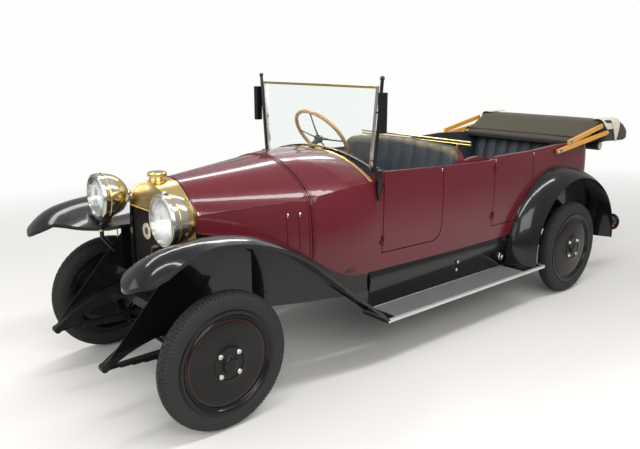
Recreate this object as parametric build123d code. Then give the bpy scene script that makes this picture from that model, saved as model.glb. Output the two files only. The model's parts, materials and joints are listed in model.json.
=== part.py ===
from build123d import *
import os
from math import sin, cos, radians, sqrt

# A 1920s open torpedo tourer: four doors, brass radiator, disc wheels, folded top.
# Millimetres. X forward, Y to the car's left, Z up, origin on the ground under the
# middle of the overall length. A station s is a distance behind the front axle.

# Driving dimensions
WHEELBASE = 3400
HALF_TRACK = 727
TYRE_RADIUS = 382.5
TYRE_WIDTH = 105
RIM_RADIUS = 287.5
NOSE_REACH = 515            # spring horn tips ahead of the front axle
TAIL_REACH = 4475           # folded top behind the front axle
FRONT_AXLE_X = (TAIL_REACH - NOSE_REACH) / 2
REAR_AXLE_S = WHEELBASE

# Fits and clearances
RUNNING = 0.05              # radial clearance of a turning fit
SLACK = 1.0                 # radial clearance of the open steering pivot
DOOR_GAP = 7
LID_GAP = 6
LID_EDGE = 9                # bonnet lids stop this far from the middle line
END_GAP = 4

# Frame
RAIL_Y = 341                # middle of each side rail
RAIL_W = 40
RAIL_BOTTOM = 455
RAIL_TOP = 545
RAIL_WEB = 6
KICK_UP = 45                # lift of the rails over the rear axle
FRAME_END_S = 4060
HORN_EYE_Z = 352
HORN_EYE_R = 22
ENGINE_HALF = 130

# Running gear
LEAF_T = 7
LEAF_W = 50
SPINDLE_R = 20
KINGPIN_IN = 87             # kingpins inboard of the tyres' middle planes
KINGPIN_Y = HALF_TRACK - KINGPIN_IN
KINGPIN_R = 11
KINGPIN_END = 6             # kingpin's ends beyond the fork
AXLE_EYE_R = 22
AXLE_EYE_H = 60
LUG_T = 24
STEER_ARM = 170
TIE_ROD_Z = 284
TIE_PIN_R = 8
HUB_INNER = -44             # inboard end of a hub, from the tyre's middle plane
HUB_BORE_END = 62
DRUM_R = 160
DRUM_T = 6

# Body
WALL = 32
SHEET = 4
SILL_Z = 582                # lower edge of the body sides
FLOOR_Z = 605
SCUTTLE_FRONT_S = 786
BONNET_FRONT_S = 124
BONNET_REAR_S = SCUTTLE_FRONT_S - LID_GAP
SCREEN_S = 1246
TUB_FRONT_S = 1225
TUB_TOP_Z = 1262            # above the highest point of the top line
CORNER_R = 200
FLOOR_T = 25
PARTITION_S = 2120
CHEEK_END_S = 2440
ROBE_Z = 1327
SHELL_DROP = 22             # shell's top edge below the front seat's
FLOOR_FRONT_S = 830
TOE_HALF = 500
SEAT_HALF = 560
ARCH_TOP = 1350             # middle of the front seat's arched back
SCUTTLE_WALL = 18
LID_T = 3

# Wings and running boards
FENDER_OUT = HALF_TRACK + 85
FENDER_LIP = 22
PANEL_T = 3
FENDER_NOSE_S = -505
FENDER_END_S = 1290
PANEL_END_S = 790           # rear edge of the front wing's inner panel
BOARD_TOP = 321
BOARD_T = 22
BOARD_W = 232
BOARD_OUT = FENDER_OUT - 13
BOARD_IN = BOARD_OUT - BOARD_W
BOARD_FRONT_S = 1170
BOARD_REAR_S = 2963
MAT_T = 2                   # linoleum tread let into its edging on the board
MAT_FRONT_S = 1260
MAT_REAR_S = 2680
MAT_INSET = 8
APRON_CREASE_Z = 525
APRON_SPLIT_S = 1200

# Radiator
RADIATOR_FRONT_S = -12
RADIATOR_FOOT_Z = 610
CORE_HALF = 252
CORE_LOW = 650
CORE_TOP = 1062
CORE_FRONT_S = 2
CORE_T = 94
BADGE_R = 36
CAP_S = 45
CAP_TOP = 1290
CAP_R = 54

# Steering wheel and column
STEER_Y = -338
STEER_HUB = (1590, 1359)    # middle of the rim: station and height
STEER_R = 239
STEER_RIM_R = 14
SPOKE_DEG = 8               # first spoke's turn from straight across
STEER_DISH = 30             # hub below the rim
COLUMN_DEG = 38
COLUMN_R = 21
COLUMN_END_S = 560
STEER_AXIS = Vector(-cos(radians(COLUMN_DEG)), 0, sin(radians(COLUMN_DEG)))

# Windscreen
SCREEN_LOW_Y = 546
SCREEN_LOW_Z = 1240
SCREEN_TOP_Y = 594
SCREEN_TOP_Z = 1762
SCREEN_BAR = 16
SCREEN_POST_OUT = 27        # post's middle outside the frame's edge
SCREEN_POST_R = 11

# Lamps
LAMP_S = -150
LAMP_Y = 421
LAMP_Z = 1103
LAMP_R = 142.5
LAMP_POST_R = 13

# Doors and their hinges
DOOR_LOW_Z = 700
DOOR_CORNER_R = 90
REAR_ARCH = (3330, 440, 632)   # inner arch of the rear fender: s, z, radius
ARCH_GAP = 14
HINGE_OUT = 9               # hinge axis outside the skin
HINGE_R = 6
HINGE_H = 26
HINGE_ZS = (780, 1130)

# Folded top
TOP_HALF = 640
BOW_T = 18
BOW_HALF = 19               # half height of a bow
BOW_PIVOT = (3300, 1194)


def P(s, y, z):
    """A point at station s."""
    return Vector(FRONT_AXLE_X - s, y, z)


def cross_at(s):
    """Places (y, z) pairs on the cross-section at station s."""
    return lambda y, z: P(s, y, z)


def side_at(y):
    """Places (s, z) pairs on the upright plane at y."""
    return lambda s, z: P(s, y, z)


def plan_at(z):
    """Places (s, y) pairs on the level plane at z."""
    return lambda s, y: P(s, y, z)


def loop(place, start, *legs):
    """Face in a closed loop. A leg is an end point, or (through, end) for an arc."""
    edges = []
    here = start
    for leg in legs:
        if isinstance(leg[0], tuple):
            through, end = leg
            edges.append(Edge.make_three_point_arc(place(*here), place(*through), place(*end)))
        else:
            end = leg
            edges.append(Edge.make_line(place(*here), place(*end)))
        here = end
    if here != start:
        edges.append(Edge.make_line(place(*here), place(*start)))
    return Face(Wire(edges))


def prism(face, dx=0, dy=0, dz=0):
    way = Vector(dx, dy, dz)
    return extrude(face, amount=way.length, dir=way.normalized())


def block(s0, s1, y0, y1, z0, z1):
    """Box between two stations, two sides and two heights."""
    size = (abs(s1 - s0), abs(y1 - y0), abs(z1 - z0))
    return Pos(P((s0 + s1) / 2, (y0 + y1) / 2, (z0 + z1) / 2)) * Box(*size)


def rod(start, end, r):
    """Round bar between two points."""
    way = end - start
    return Solid.make_cylinder(r, way.length, Plane(origin=start, z_dir=way.normalized()))


def skin(faces):
    """Solid through a row of faces."""
    return Solid.make_loft([face.outer_wire() for face in faces])


def turned(*profile):
    """Solid of revolution about Y from (radius, y) points."""
    return revolve(loop(lambda r, y: Vector(r, y, 0), *profile), Axis.Y)


def other_side(shape):
    return mirror(shape, about=Plane.XZ)


def down(shape, z):
    return Pos(0, 0, -z) * shape


def save(node, *shapes):
    solids = [solid for shape in shapes for solid in shape.solids()]
    export_step(Compound(solids) if len(solids) > 1 else solids[0], f"parts/{node}.step")


# Bonnet and scuttle sections. The crest is on the middle line, the hip is the edge
# between top and side, and the foot is the lower edge.
SECTIONS = {
    # name: (s, crest_z, knee_y, knee_z, hip_y, hip_z, waist_y, waist_z, foot_y, foot_z)
    "radiator": (BONNET_FRONT_S, 1249, 175, 1192, 277, 1063, 283, 1000, 286, 940),
    "scuttle": (SCUTTLE_FRONT_S, 1318, 300, 1259, 493, 1109, 515, 940, 522, 735),
    "dash": (1010, 1324, 362, 1276, 556, 1150, 580, 900, 572, 602),
    "screen": (TUB_FRONT_S, 1322, 408, 1270, 594, 1178, 606, 940, 588, SILL_Z),
}


def half_section(row, inset=0):
    """One half of a section as points: crest, knee, hip, waist, foot. An inset one runs lower."""
    s, crest_z, knee_y, knee_z, hip_y, hip_z, waist_y, waist_z, foot_y, foot_z = row
    return (s, (0, crest_z - inset), (knee_y - inset / 2, knee_z - inset),
            (hip_y - inset, hip_z - inset / 2), (waist_y - inset, waist_z),
            (foot_y - inset, foot_z - 2 * inset))


def full_face(row, inset=0):
    """Closed section across the car."""
    s, crest, knee, hip, waist, foot = half_section(row, inset)
    left = [(y, z) for y, z in (crest, knee, hip, waist, foot)]
    right = [(-y, z) for y, z in left]
    return loop(cross_at(s), right[4], (right[3], right[2]), (right[1], left[0]),
                (left[1], left[2]), (left[3], left[4]))


def between(name_a, name_b, s):
    """Section row at a station between two named ones."""
    a = SECTIONS[name_a]
    b = SECTIONS[name_b]
    share = (s - a[0]) / (b[0] - a[0])
    return tuple(p + (q - p) * share for p, q in zip(a, b))


# Tub levels, from the sill up
LEVELS = [
    # z, half width at the scuttle, at the doors, at the rear corners, rear end station
    (SILL_Z, 588, 618, 588, 3925),
    (940, 606, 640, 612, 3950),
    (TUB_TOP_Z, 598, 628, 602, 3940),
]


def tub_outline(z, front_y, door_y, rear_y, rear_s, inset=0, s0=TUB_FRONT_S):
    corner_s = rear_s - CORNER_R
    corner_y = rear_y - CORNER_R
    r = CORNER_R - inset
    bend = (corner_s + r * sin(radians(45)), corner_y + r * cos(radians(45)))
    mid_s = (TUB_FRONT_S + corner_s) / 2
    points = [(s0, front_y - inset), (mid_s, door_y - inset), (corner_s, rear_y - inset),
              bend, (rear_s - inset, corner_y)]
    flip = [(s, -y) for s, y in points]
    return loop(plan_at(z), points[0], (points[1], points[2]), (points[3], points[4]),
                flip[4], (flip[3], flip[2]), (flip[1], flip[0]))


def tub_solid(inset=0):
    return skin([tub_outline(*row, inset=inset) for row in LEVELS])


def scuttle_solid(inset=0):
    names = ("scuttle", "dash", "screen")
    return skin([full_face(SECTIONS[name], inset) for name in names])


# Line of the body's upper edge, as (s, z)
TOP_LINE = [(TUB_FRONT_S, 1226), (1850, 1206), (2421, 1194), (2470, 1216), (2960, 1219),
            (3300, 1235), (3990, 1213)]


def top_cut():
    """Everything above the body's upper edge."""
    high = 1500
    line = [(TUB_FRONT_S - 1, high), (TUB_FRONT_S - 1, TOP_LINE[0][1])] + TOP_LINE
    line += [(TOP_LINE[-1][0] + 60, TOP_LINE[-1][1]), (TOP_LINE[-1][0] + 60, high)]
    return prism(loop(side_at(-800), *line), dy=1600)


# Doors as side outlines: front seam, rear seam, lower edge
DOORS = {
    # name: (front_s, rear_s)
    "front": (1304, 1860),
    "rear": (2447, 2948),
}


def door_face(name, grow):
    """Door outline on the middle plane, grown by a gap on its three closed sides."""
    front_s, rear_s = DOORS[name]
    s0 = front_s - grow
    s1 = rear_s + grow
    z0 = DOOR_LOW_Z - grow
    high = 1400
    if name == "front":
        r = DOOR_CORNER_R
        c = r * (1 - cos(radians(45)))
        return loop(side_at(0), (s0, high), (s0, z0), (s1 - r, z0), ((s1 - c, z0 + c), (s1, z0 + r)),
                    (s1, high))
    arch_s, arch_z, arch_r = REAR_ARCH
    r = arch_r + ARCH_GAP - grow
    low_s = arch_s - sqrt(r ** 2 - (arch_z - z0) ** 2)
    high_z = arch_z + sqrt(r ** 2 - (arch_s - s1) ** 2)
    mid_s = (low_s + s1) / 2
    mid_z = arch_z + sqrt(r ** 2 - (arch_s - mid_s) ** 2)
    return loop(side_at(0), (s0, high), (s0, z0), (low_s, z0), ((mid_s, mid_z), (s1, high_z)),
                (s1, high))


def skin_y(s, z):
    """Half width of the tub's outside at a station and height."""
    ray = Edge.make_line(P(s, 0, z), P(s, 900, z))
    return max(v.Y for v in ray.intersect(TUB).vertices())


TUB = tub_solid()
TUB_HOLLOW = tub_solid(inset=WALL)
SCUTTLE = scuttle_solid()
SCUTTLE_HOLLOW = scuttle_solid(inset=SCUTTLE_WALL)
CUT = top_cut()


def hinge_y(name):
    front_s = DOORS[name][0]
    return max(skin_y(front_s, z) for z in HINGE_ZS) + HINGE_OUT


HINGE_Y = {name: hinge_y(name) for name in DOORS}


def hinge(name, on_door):
    """Half of the two hinges of a left door: barrel and the leaf that carries it."""
    s = DOORS[name][0] - DOOR_GAP / 2
    y = HINGE_Y[name]
    pieces = []
    for z in HINGE_ZS:
        z0 = z + SLACK if on_door else z - HINGE_H
        z1 = z0 + HINGE_H - SLACK if on_door else z
        barrel = rod(P(s, y, z0), P(s, y, z1), HINGE_R)
        leaf_s = s + HINGE_R + 12 if on_door else s - HINGE_R - 12
        leaf = block(s, leaf_s, y - HINGE_R, y - 2, z0, z1)
        foot = block(leaf_s, leaf_s + (-8 if on_door else 8), y - HINGE_OUT - 14, y - 2, z0, z1)
        pieces.append(barrel + leaf + foot)
    return pieces[0] + pieces[1]


def body():
    walls = (TUB - TUB_HOLLOW - CUT) + (SCUTTLE - SCUTTLE_HOLLOW)
    firewall = SCUTTLE & block(SCUTTLE_FRONT_S, SCUTTLE_FRONT_S + SCUTTLE_WALL, -700, 700, 600, 1400)
    walls = walls + firewall
    hub = P(STEER_HUB[0], STEER_Y, STEER_HUB[1])
    walls = walls - rod(hub - STEER_AXIS * 1250, hub - STEER_AXIS * 800, COLUMN_R)
    for name in DOORS:
        way = prism(door_face(name, DOOR_GAP), dy=900)
        walls = walls - way - other_side(way)
        leaf = hinge(name, False)
        walls = walls + leaf + other_side(leaf)
    return walls


def door(name):
    """A left door."""
    panel = (TUB - TUB_HOLLOW - CUT) & prism(door_face(name, 0), dy=900)
    return panel + hinge(name, True)


# Lower edge of the bonnet lids, as (s, z)
LID_FOOT = [(BONNET_FRONT_S, 962), (433, 884), (540, 832), (BONNET_REAR_S, 745)]


def bonnet_left():
    """Left half of the bonnet: one lid from the crest hinge to its lower edge."""
    rows = (SECTIONS["radiator"], between("radiator", "scuttle", BONNET_REAR_S))

    def face(row, inset):
        s, crest, knee, hip, waist, foot = half_section(row, inset)
        return loop(cross_at(s), crest, (knee, hip), (waist, foot), (0, foot[1]))

    outer = skin([face(row, 0) for row in rows])
    inner = skin([face(row, LID_T) for row in rows])
    lid = outer - inner
    lid = lid - block(0, 1000, -10, LID_EDGE, 600, 1500)
    low = loop(side_at(-5), (0, 500), (0, 990), *LID_FOOT, (1000, 700), (1000, 500))
    return lid - prism(low, dy=900)


def bonnet_hinge():
    """Hinge rod along the crest, let into the radiator shell and the scuttle."""
    front = P(BONNET_FRONT_S - 8, 0, SECTIONS["radiator"][1] - 4)
    back = P(SCUTTLE_FRONT_S, 0, SECTIONS["scuttle"][1] - 4)
    return rod(front, back, 4) - RADIATOR_SHELL - SCUTTLE


def frame():
    """Two rails with spring horns, and five cross members."""
    tip_s = -NOSE_REACH + HORN_EYE_R
    side = loop(
        side_at(RAIL_Y - RAIL_W / 2),
        (tip_s - 10, HORN_EYE_Z + 16), ((-330, 470), (-100, RAIL_TOP)), (2700, RAIL_TOP),
        ((2950, RAIL_TOP + 14), (3180, RAIL_TOP + KICK_UP)), (3620, RAIL_TOP + KICK_UP),
        ((3850, RAIL_TOP + 34), (FRAME_END_S, RAIL_TOP)), (FRAME_END_S, RAIL_BOTTOM + 25),
        ((3850, RAIL_BOTTOM + 42), (3620, RAIL_BOTTOM + KICK_UP + 5)),
        (3180, RAIL_BOTTOM + KICK_UP + 5),
        ((2950, RAIL_BOTTOM + 18), (2700, RAIL_BOTTOM)), (-60, RAIL_BOTTOM),
        ((-300, 420), (tip_s + 8, HORN_EYE_Z - 18)))
    rail = prism(side, dy=RAIL_W)
    web_y = RAIL_Y + RAIL_W / 2 - RAIL_WEB
    for s0, s1 in ((-40, 1170), (1240, 2660), (3200, 3600)):
        lift = KICK_UP if s0 > 3000 else 0
        pocket = block(s0, s1, RAIL_Y - RAIL_W, web_y, RAIL_BOTTOM + lift + 12, RAIL_TOP + lift - 7)
        rail = rail - pocket
    y0 = RAIL_Y - RAIL_W / 2 - 2
    eye = rod(P(tip_s, y0, HORN_EYE_Z), P(tip_s, y0 + RAIL_W + 4, HORN_EYE_Z), HORN_EYE_R)
    rail = rail + eye
    whole = rail + other_side(rail)
    inner = RAIL_Y - RAIL_W / 2
    for s, z1 in ((-70, RAIL_TOP), (1205, RAIL_TOP), (1960, RAIL_TOP), (2690, RAIL_TOP),
                  (3150, RAIL_TOP + KICK_UP - 8), (3960, RAIL_TOP - 4)):
        channel = block(s - 30, s + 30, -inner - 1, inner + 1, z1 - 60, z1)
        whole = whole + (channel - block(s - 24, s + 40, -inner + 5, inner - 5, z1 - 54, z1 - 6))
    return whole


SPRINGS = {
    # name: (front eye s, z, middle s, main leaf z, rear eye s, z, leaves)
    "front": (-480, 348, 0, 352, 448, 400, 6),
    "rear": (2760, 415, 3400, 342, 4020, 425, 7),
}


def leaf_spring(name):
    """Stepped leaf pack under its main leaf, with the hangers that carry its ends."""
    s0, z0, s_mid, z_mid, s1, z1, leaves = SPRINGS[name]
    y0 = RAIL_Y - LEAF_W / 2

    def height(s):
        if s < s_mid:
            return z_mid + (z0 - z_mid) * ((s_mid - s) / (s_mid - s0)) ** 2
        return z_mid + (z1 - z_mid) * ((s - s_mid) / (s1 - s_mid)) ** 2

    stations = []
    for i in range(leaves):
        share = 1 - i / leaves * 0.86
        stations.append((s_mid - (s_mid - s0) * share, s_mid + (s1 - s_mid) * share))
    rear_steps = []
    front_steps = []
    for i, (front_s, rear_s) in enumerate(stations):
        low = -LEAF_T * (i + 1)
        inner = stations[i + 1] if i + 1 < leaves else (s_mid - 40, s_mid + 40)
        rear_steps += [(rear_s, height(rear_s) + low), (inner[1], height(inner[1]) + low)]
        front_steps += [(front_s, height(front_s) + low), (inner[0], height(inner[0]) + low)]
    mid = [(s, height(s)) for s in ((s0 + s_mid) / 2, s_mid, (s1 + s_mid) / 2)]
    face = loop(side_at(y0), (s0, z0), *mid, (s1, z1), *rear_steps, *reversed(front_steps))
    pack = prism(face, dy=LEAF_W)
    eye_r = 16
    hangers = [(s1, z1, RAIL_BOTTOM + 4)]
    if name == "rear":
        hangers = [(s0, z0, RAIL_BOTTOM + 4), (s1, z1, RAIL_TOP)]
    for s, z, top in hangers:
        pack = pack + rod(P(s, y0, z), P(s, y0 + LEAF_W, z), eye_r)
        for y in (y0 - 6, y0 + LEAF_W):
            pack = pack + block(s - 15, s + 15, y, y + 6, z - 15, top)
        pack = pack + rod(P(s, y0 - 6, z), P(s, y0 + LEAF_W + 6, z), 8)
    clip_z = z_mid - LEAF_T * leaves
    for side in (-45, 45):
        clip_s = s_mid + side
        pack = pack + block(clip_s - 6, clip_s + 6, y0 - 4, y0 + LEAF_W + 4, clip_z, z_mid + 8)
    return pack - FRAME - AXLES[name]


WHEEL_PROFILE = [
    # (radius, distance outboard of the tyre's middle plane), round the section
    (SPINDLE_R + RUNNING, HUB_INNER), (42, HUB_INNER), (42, 34), (100, 38), (228, 28), (247, 10),
    (250, -44), (252, -50), (RIM_RADIUS, -50), (RIM_RADIUS, -45), (264, -43), (258, -38),
    (258, 38), (264, 43), (RIM_RADIUS, 45), (RIM_RADIUS, 50), (268, 50), (256, 34), (248, 30),
    (238, 40), (100, 51), (97, 57), (50, 58), (46, 72), (30, 79), (0, 80),
    (0, HUB_BORE_END), (SPINDLE_R + RUNNING, HUB_BORE_END),
]
RIM_SEAT = [(RIM_RADIUS, -45), (264, -43), (258, -38), (258, 38), (264, 43), (RIM_RADIUS, 45)]


def wheel():
    """Pressed disc wheel with its rim and hub, outboard to +Y."""
    return turned(*WHEEL_PROFILE)


def drum():
    """Brake drum on the inboard side of a rear hub, open towards the axle."""
    bore = SPINDLE_R + RUNNING
    low = HUB_INNER - 38
    return turned((bore, HUB_INNER + 2), (bore, HUB_INNER - 12), (44, HUB_INNER - 12),
                  (DRUM_R - DRUM_T, HUB_INNER - 6), (DRUM_R - DRUM_T, low), (DRUM_R, low),
                  (DRUM_R, HUB_INNER), (44, HUB_INNER + 2))


def tyre():
    """Beaded-edge tyre seated in the rim, its widest place halfway up."""
    half = TYRE_WIDTH / 2
    widest = (TYRE_RADIUS + RIM_RADIUS) / 2
    shoulder = (TYRE_RADIUS - 11, half - 15.5)
    return turned(*RIM_SEAT, ((widest, half), shoulder),
                  ((TYRE_RADIUS, 0), (shoulder[0], -shoulder[1])), ((widest, -half), RIM_SEAT[0]))


def wheel_place(s, y):
    return Pos(P(s, y, TYRE_RADIUS))


def front_axle():
    """I-section beam, dropped between its two upright eyes."""
    w = TYRE_RADIUS
    top = 310
    low = 264
    half = [(KINGPIN_Y - 140, top), (KINGPIN_Y - 40, w + 24), (KINGPIN_Y, w + 24),
            (KINGPIN_Y, w - 24), (KINGPIN_Y - 28, w - 24), (KINGPIN_Y - 125, low)]
    side = loop(cross_at(22), *half, *[(-y, z) for y, z in reversed(half)])
    beam = prism(side, dx=44)
    web_y = KINGPIN_Y - 150
    for s0, s1 in ((-30, -9), (9, 30)):
        beam = beam - block(s0, s1, -web_y, web_y, low + 11, top - 11)
    for y in (-KINGPIN_Y, KINGPIN_Y):
        z0 = w - AXLE_EYE_H / 2
        eye = rod(P(0, y, z0), P(0, y, z0 + AXLE_EYE_H), AXLE_EYE_R)
        beam = beam + eye
    for y in (-KINGPIN_Y, KINGPIN_Y):
        beam = beam - rod(P(0, y, 300), P(0, y, 470), KINGPIN_R + RUNNING)
        beam = beam - (block(-40, 40, y - 60, y + 60, w + AXLE_EYE_H / 2, w + 90)
                       + block(-40, 40, y - 28, y + 60, w - 90, w - AXLE_EYE_H / 2))
    return beam


def knuckle(side):
    """Forked steering knuckle with its kingpin, spindle and steering arm. side is 1 on the left."""
    w = TYRE_RADIUS
    y = KINGPIN_Y
    half = AXLE_EYE_H / 2 + SLACK
    out_y = HALF_TRACK + HUB_INNER - 6
    piece = block(-22, 22, y + 28, out_y, w - half - LUG_T, w + half + LUG_T)
    for z0 in (w - half - LUG_T, w + half):
        piece = piece + block(-22, 22, y, y + 28, z0, z0 + LUG_T)
        piece = piece + rod(P(0, y, z0), P(0, y, z0 + LUG_T), 22)
    pin = half + LUG_T + KINGPIN_END
    piece = piece + rod(P(0, y, w - pin), P(0, y, w + pin), KINGPIN_R)
    piece = piece + rod(P(0, out_y - 1, w), P(0, HALF_TRACK + HUB_BORE_END - END_GAP, w), SPINDLE_R)
    arm_z = w - half - LUG_T
    piece = piece + block(0, STEER_ARM, y - 11, y + 11, arm_z, arm_z + 16)
    piece = piece + rod(P(STEER_ARM, y, TIE_ROD_Z - 24), P(STEER_ARM, y, arm_z + 16), TIE_PIN_R)
    piece = piece + rod(P(STEER_ARM, y, arm_z - 10), P(STEER_ARM, y, arm_z + 16), 17)
    return piece if side > 0 else other_side(piece)


def tie_rod():
    """Track rod. Its left eye turns on its pin and its right eye has slack."""
    z = TIE_ROD_Z
    y = KINGPIN_Y
    h = 14
    bar = rod(P(STEER_ARM, -y, z), P(STEER_ARM, y, z), 11)
    for side in (1, -1):
        bar = bar + rod(P(STEER_ARM, side * y, z - h), P(STEER_ARM, side * y, z + h), 18)
    for side, clear in ((1, RUNNING), (-1, SLACK)):
        bar = bar - rod(P(STEER_ARM, side * y, z - 40), P(STEER_ARM, side * y, z + 40),
                        TIE_PIN_R + clear)
    return bar


def rear_axle():
    """Axle casing with its bowl, torque tube, back plates and spindles."""
    w = TYRE_RADIUS
    s = REAR_AXLE_S
    plate_y = HALF_TRACK - 88
    casing = rod(P(s, -plate_y, w), P(s, plate_y, w), 40)
    place = lambda y, r: P(s, y, w + r)
    bowl = revolve(loop(place, (-150, 0), (-150, 42), ((0, 165), (150, 42)), (150, 0)),
                   Axis(P(s, 0, w), (0, 1, 0)))
    tube = rod(P(s - 100, 0, w + 3), P(1230, 0, 441), 36)
    whole = casing + bowl + (tube - POWER_UNIT)
    end_y = HALF_TRACK + HUB_BORE_END - END_GAP
    for side in (-1, 1):
        whole = whole + rod(P(s, side * (plate_y - 5), w), P(s, side * plate_y, w), DRUM_R - 12)
        whole = whole + rod(P(s, side * plate_y, w), P(s, side * end_y, w), SPINDLE_R)
    return whole


def power_unit():
    """Engine and gearbox as one plain block, on bearers across the rails."""
    whole = block(160, 720, -ENGINE_HALF, ENGINE_HALF, 478, 1040)
    whole = whole + block(700, 1268, -105, 105, 385, 590)
    whole = whole - block(1160, 1250, -110, 110, RAIL_TOP - 66, 600)
    for s in (240, 660):
        whole = whole + block(s - 30, s + 30, -RAIL_Y - 18, RAIL_Y + 18, RAIL_TOP, RAIL_TOP + 14)
    return whole


def exhaust():
    """Pipe and silencer inside the right rail, on two straps from its lower flange."""
    y = -235
    z = 400
    r = 24
    down_pipe = rod(P(560, -ENGINE_HALF, 620), P(560, y, 620), r) + rod(P(560, y, 632), P(560, y, z - 12), r)
    pipe = rod(P(548, y, z), P(2280, y, z), r)
    silencer = rod(P(2270, y, z), P(2900, y, z), 70)
    whole = down_pipe + pipe + silencer + rod(P(2890, y, z), P(3120, y, z), 22)
    for s in (2330, 2840):
        whole = whole + block(s, s + 30, -(RAIL_Y - RAIL_W / 2), y, RAIL_BOTTOM + 2, RAIL_BOTTOM + 11)
    return whole


def radiator_shell():
    """Brass shell and header tank, with filler neck and cap."""
    front = (RADIATOR_FRONT_S, 1238, 170, 1184, 272, 1056, 283, 985, 286, RADIATOR_FOOT_Z)
    back = (BONNET_FRONT_S - LID_GAP,) + SECTIONS["radiator"][1:9] + (RADIATOR_FOOT_Z,)
    shell = skin([full_face(front), full_face(back)])
    shell = shell - block(-20, 200, -CORE_HALF, CORE_HALF, CORE_LOW, CORE_TOP)
    foot = block(20, 80, CORE_HALF + 10, RAIL_Y, RAIL_TOP, RADIATOR_FOOT_Z + 10)
    shell = shell + foot + other_side(foot)
    place = lambda r, z: P(CAP_S - r, 0, CAP_TOP + z)
    cap = revolve(loop(place, (0, -100), (40, -100), (40, -52), (47, -50), (47, -38), (40, -34),
                       (40, -28), (CAP_R, -24), (CAP_R, -6), (CAP_R - 5, 0), (0, 0)),
                  Axis(P(CAP_S, 0, 0), (0, 0, 1)))
    return shell + cap


def radiator_core():
    """Block of the core with a plain round badge on its face."""
    core = block(CORE_FRONT_S, CORE_FRONT_S + CORE_T, -CORE_HALF, CORE_HALF, CORE_LOW, CORE_TOP)
    badge = rod(P(CORE_FRONT_S - 10, -70, 930), P(CORE_FRONT_S, -70, 930), BADGE_R)
    return core + badge


def lamp_turn(*profile):
    """Turned piece on the left lamp's axis from (s, radius) points."""
    place = lambda s, r: P(s, LAMP_Y, LAMP_Z + r)
    return revolve(loop(place, *profile), Axis(P(0, LAMP_Y, LAMP_Z), (1, 0, 0)))


def headlamp_rim():
    s0 = LAMP_S - 12
    return lamp_turn((s0, 122), (s0, 134), ((s0 + 6, 141), (s0 + 16, LAMP_R)), (s0 + 44, LAMP_R - 4),
                     (s0 + 44, 132), (s0 + 16, 128), (s0 + 10, 128), (s0 + 10, 122))


def headlamp_lens():
    s0 = LAMP_S - 2
    return lamp_turn((s0, 0), (s0, 128), (s0 + 4, 128), (s0 + 4, 0))


def lamp_bell(thin):
    """Filled bell behind a lamp's rim, thinned all over."""
    s0 = LAMP_S + 32
    tip = LAMP_S + 202 - thin
    return lamp_turn((s0, 0), (s0, 136 - thin), ((LAMP_S + 124, 114 - thin), (tip - 22, 52 - thin / 2)),
                     (tip - 6, 22), (tip, 16), (tip, 0))


def headlamp_bowl():
    return lamp_bell(0) - lamp_bell(4)


def lamp_bracket():
    """Curved arm from the wing's inner panel to the lamp's underside, on a round flange."""
    arm_s = LAMP_S - 22
    panel_y = RAIL_Y + RAIL_W / 2
    low = P(LAMP_S + 50, RAIL_Y + 4, LAMP_Z - 333)
    points = [low, P(arm_s, RAIL_Y, LAMP_Z - 235), P(arm_s, RAIL_Y, LAMP_Z - 158),
              P(arm_s + 60, RAIL_Y + 21, LAMP_Z - 146), P(arm_s + 102, LAMP_Y - 9, LAMP_Z - 103)]
    flange = rod(Vector(low.X, panel_y - 8, low.Z), Vector(low.X, panel_y, low.Z), 2 * LAMP_POST_R)
    post = flange + Pos(low) * Sphere(LAMP_POST_R) + rod(points[0], points[1], LAMP_POST_R)
    for start, end in zip(points[1:], points[2:]):
        post = post + Pos(start) * Sphere(LAMP_POST_R) + rod(start, end, LAMP_POST_R)
    return post - lamp_bell(0) - block(-400, 0, panel_y, panel_y + 100, 700, 850)


def fender_face(y, tip_z, nose_z, front_z, swell_z, crest_z, back_z, knee_z, foot_z):
    base = 150
    return loop(side_at(y), (FENDER_NOSE_S, base), (FENDER_NOSE_S, tip_z), ((-430, nose_z), (-330, front_z)),
                ((-200, swell_z), (-60, crest_z)), ((300, back_z), (640, knee_z)),
                (FENDER_END_S, foot_z), (FENDER_END_S, base))


FENDER_LEVELS = [
    # y, then heights at the nose, at stations -430, -330, -200, -60, 300, 640 and at the end
    (RAIL_Y - 91, 760, 812, 858, 893, 910, 893, 745, 228),
    (RAIL_Y + 59, 790, 845, 893, 922, 934, 900, 764, 238),
    (FENDER_OUT - 312, 822, 888, 936, 958, 968, 922, 770, 245),
    (FENDER_OUT - 232, 856, 936, 984, 1004, 1014, 955, 774, 249),
    (FENDER_OUT - 142, 874, 964, 1018, 1042, 1050, 984, 777, 251),
    (FENDER_OUT - 62, 862, 948, 1004, 1036, 1050, 984, 774, 250),
    (FENDER_OUT + 3, 830, 882, 938, 1006, 1032, 958, 752, 232),
]


def fender_plan(inset, z):
    """Outline of a left front fender seen from above."""
    d = inset
    out = FENDER_OUT - d
    end = FENDER_END_S + 40
    return loop(plan_at(z), (-6, 303 + d), (-129, 336 + d), (-390 + d, FENDER_OUT - 260 + d),
                ((-502 + d, FENDER_OUT - 122), (-400 + d, out - 6)), (-330, out), (1100, out),
                (end, out - 10), (end, 575 + d), (1100, 592 + d), (786, 532 + d), (130, 303 + d))


def front_fender():
    """Domed wing with a turned-down lip, and its flat inner panel on the rail."""
    solid = skin([fender_face(*row) for row in FENDER_LEVELS])
    top = solid & prism(fender_plan(0, 200), dz=1000)
    under = down(solid, SHEET) & prism(fender_plan(SHEET, 190), dz=1000)
    wing = top - under - down(solid, FENDER_LIP) - block(1100, 1400, 400, 900, 0, BOARD_TOP)
    return wing, solid


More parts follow.
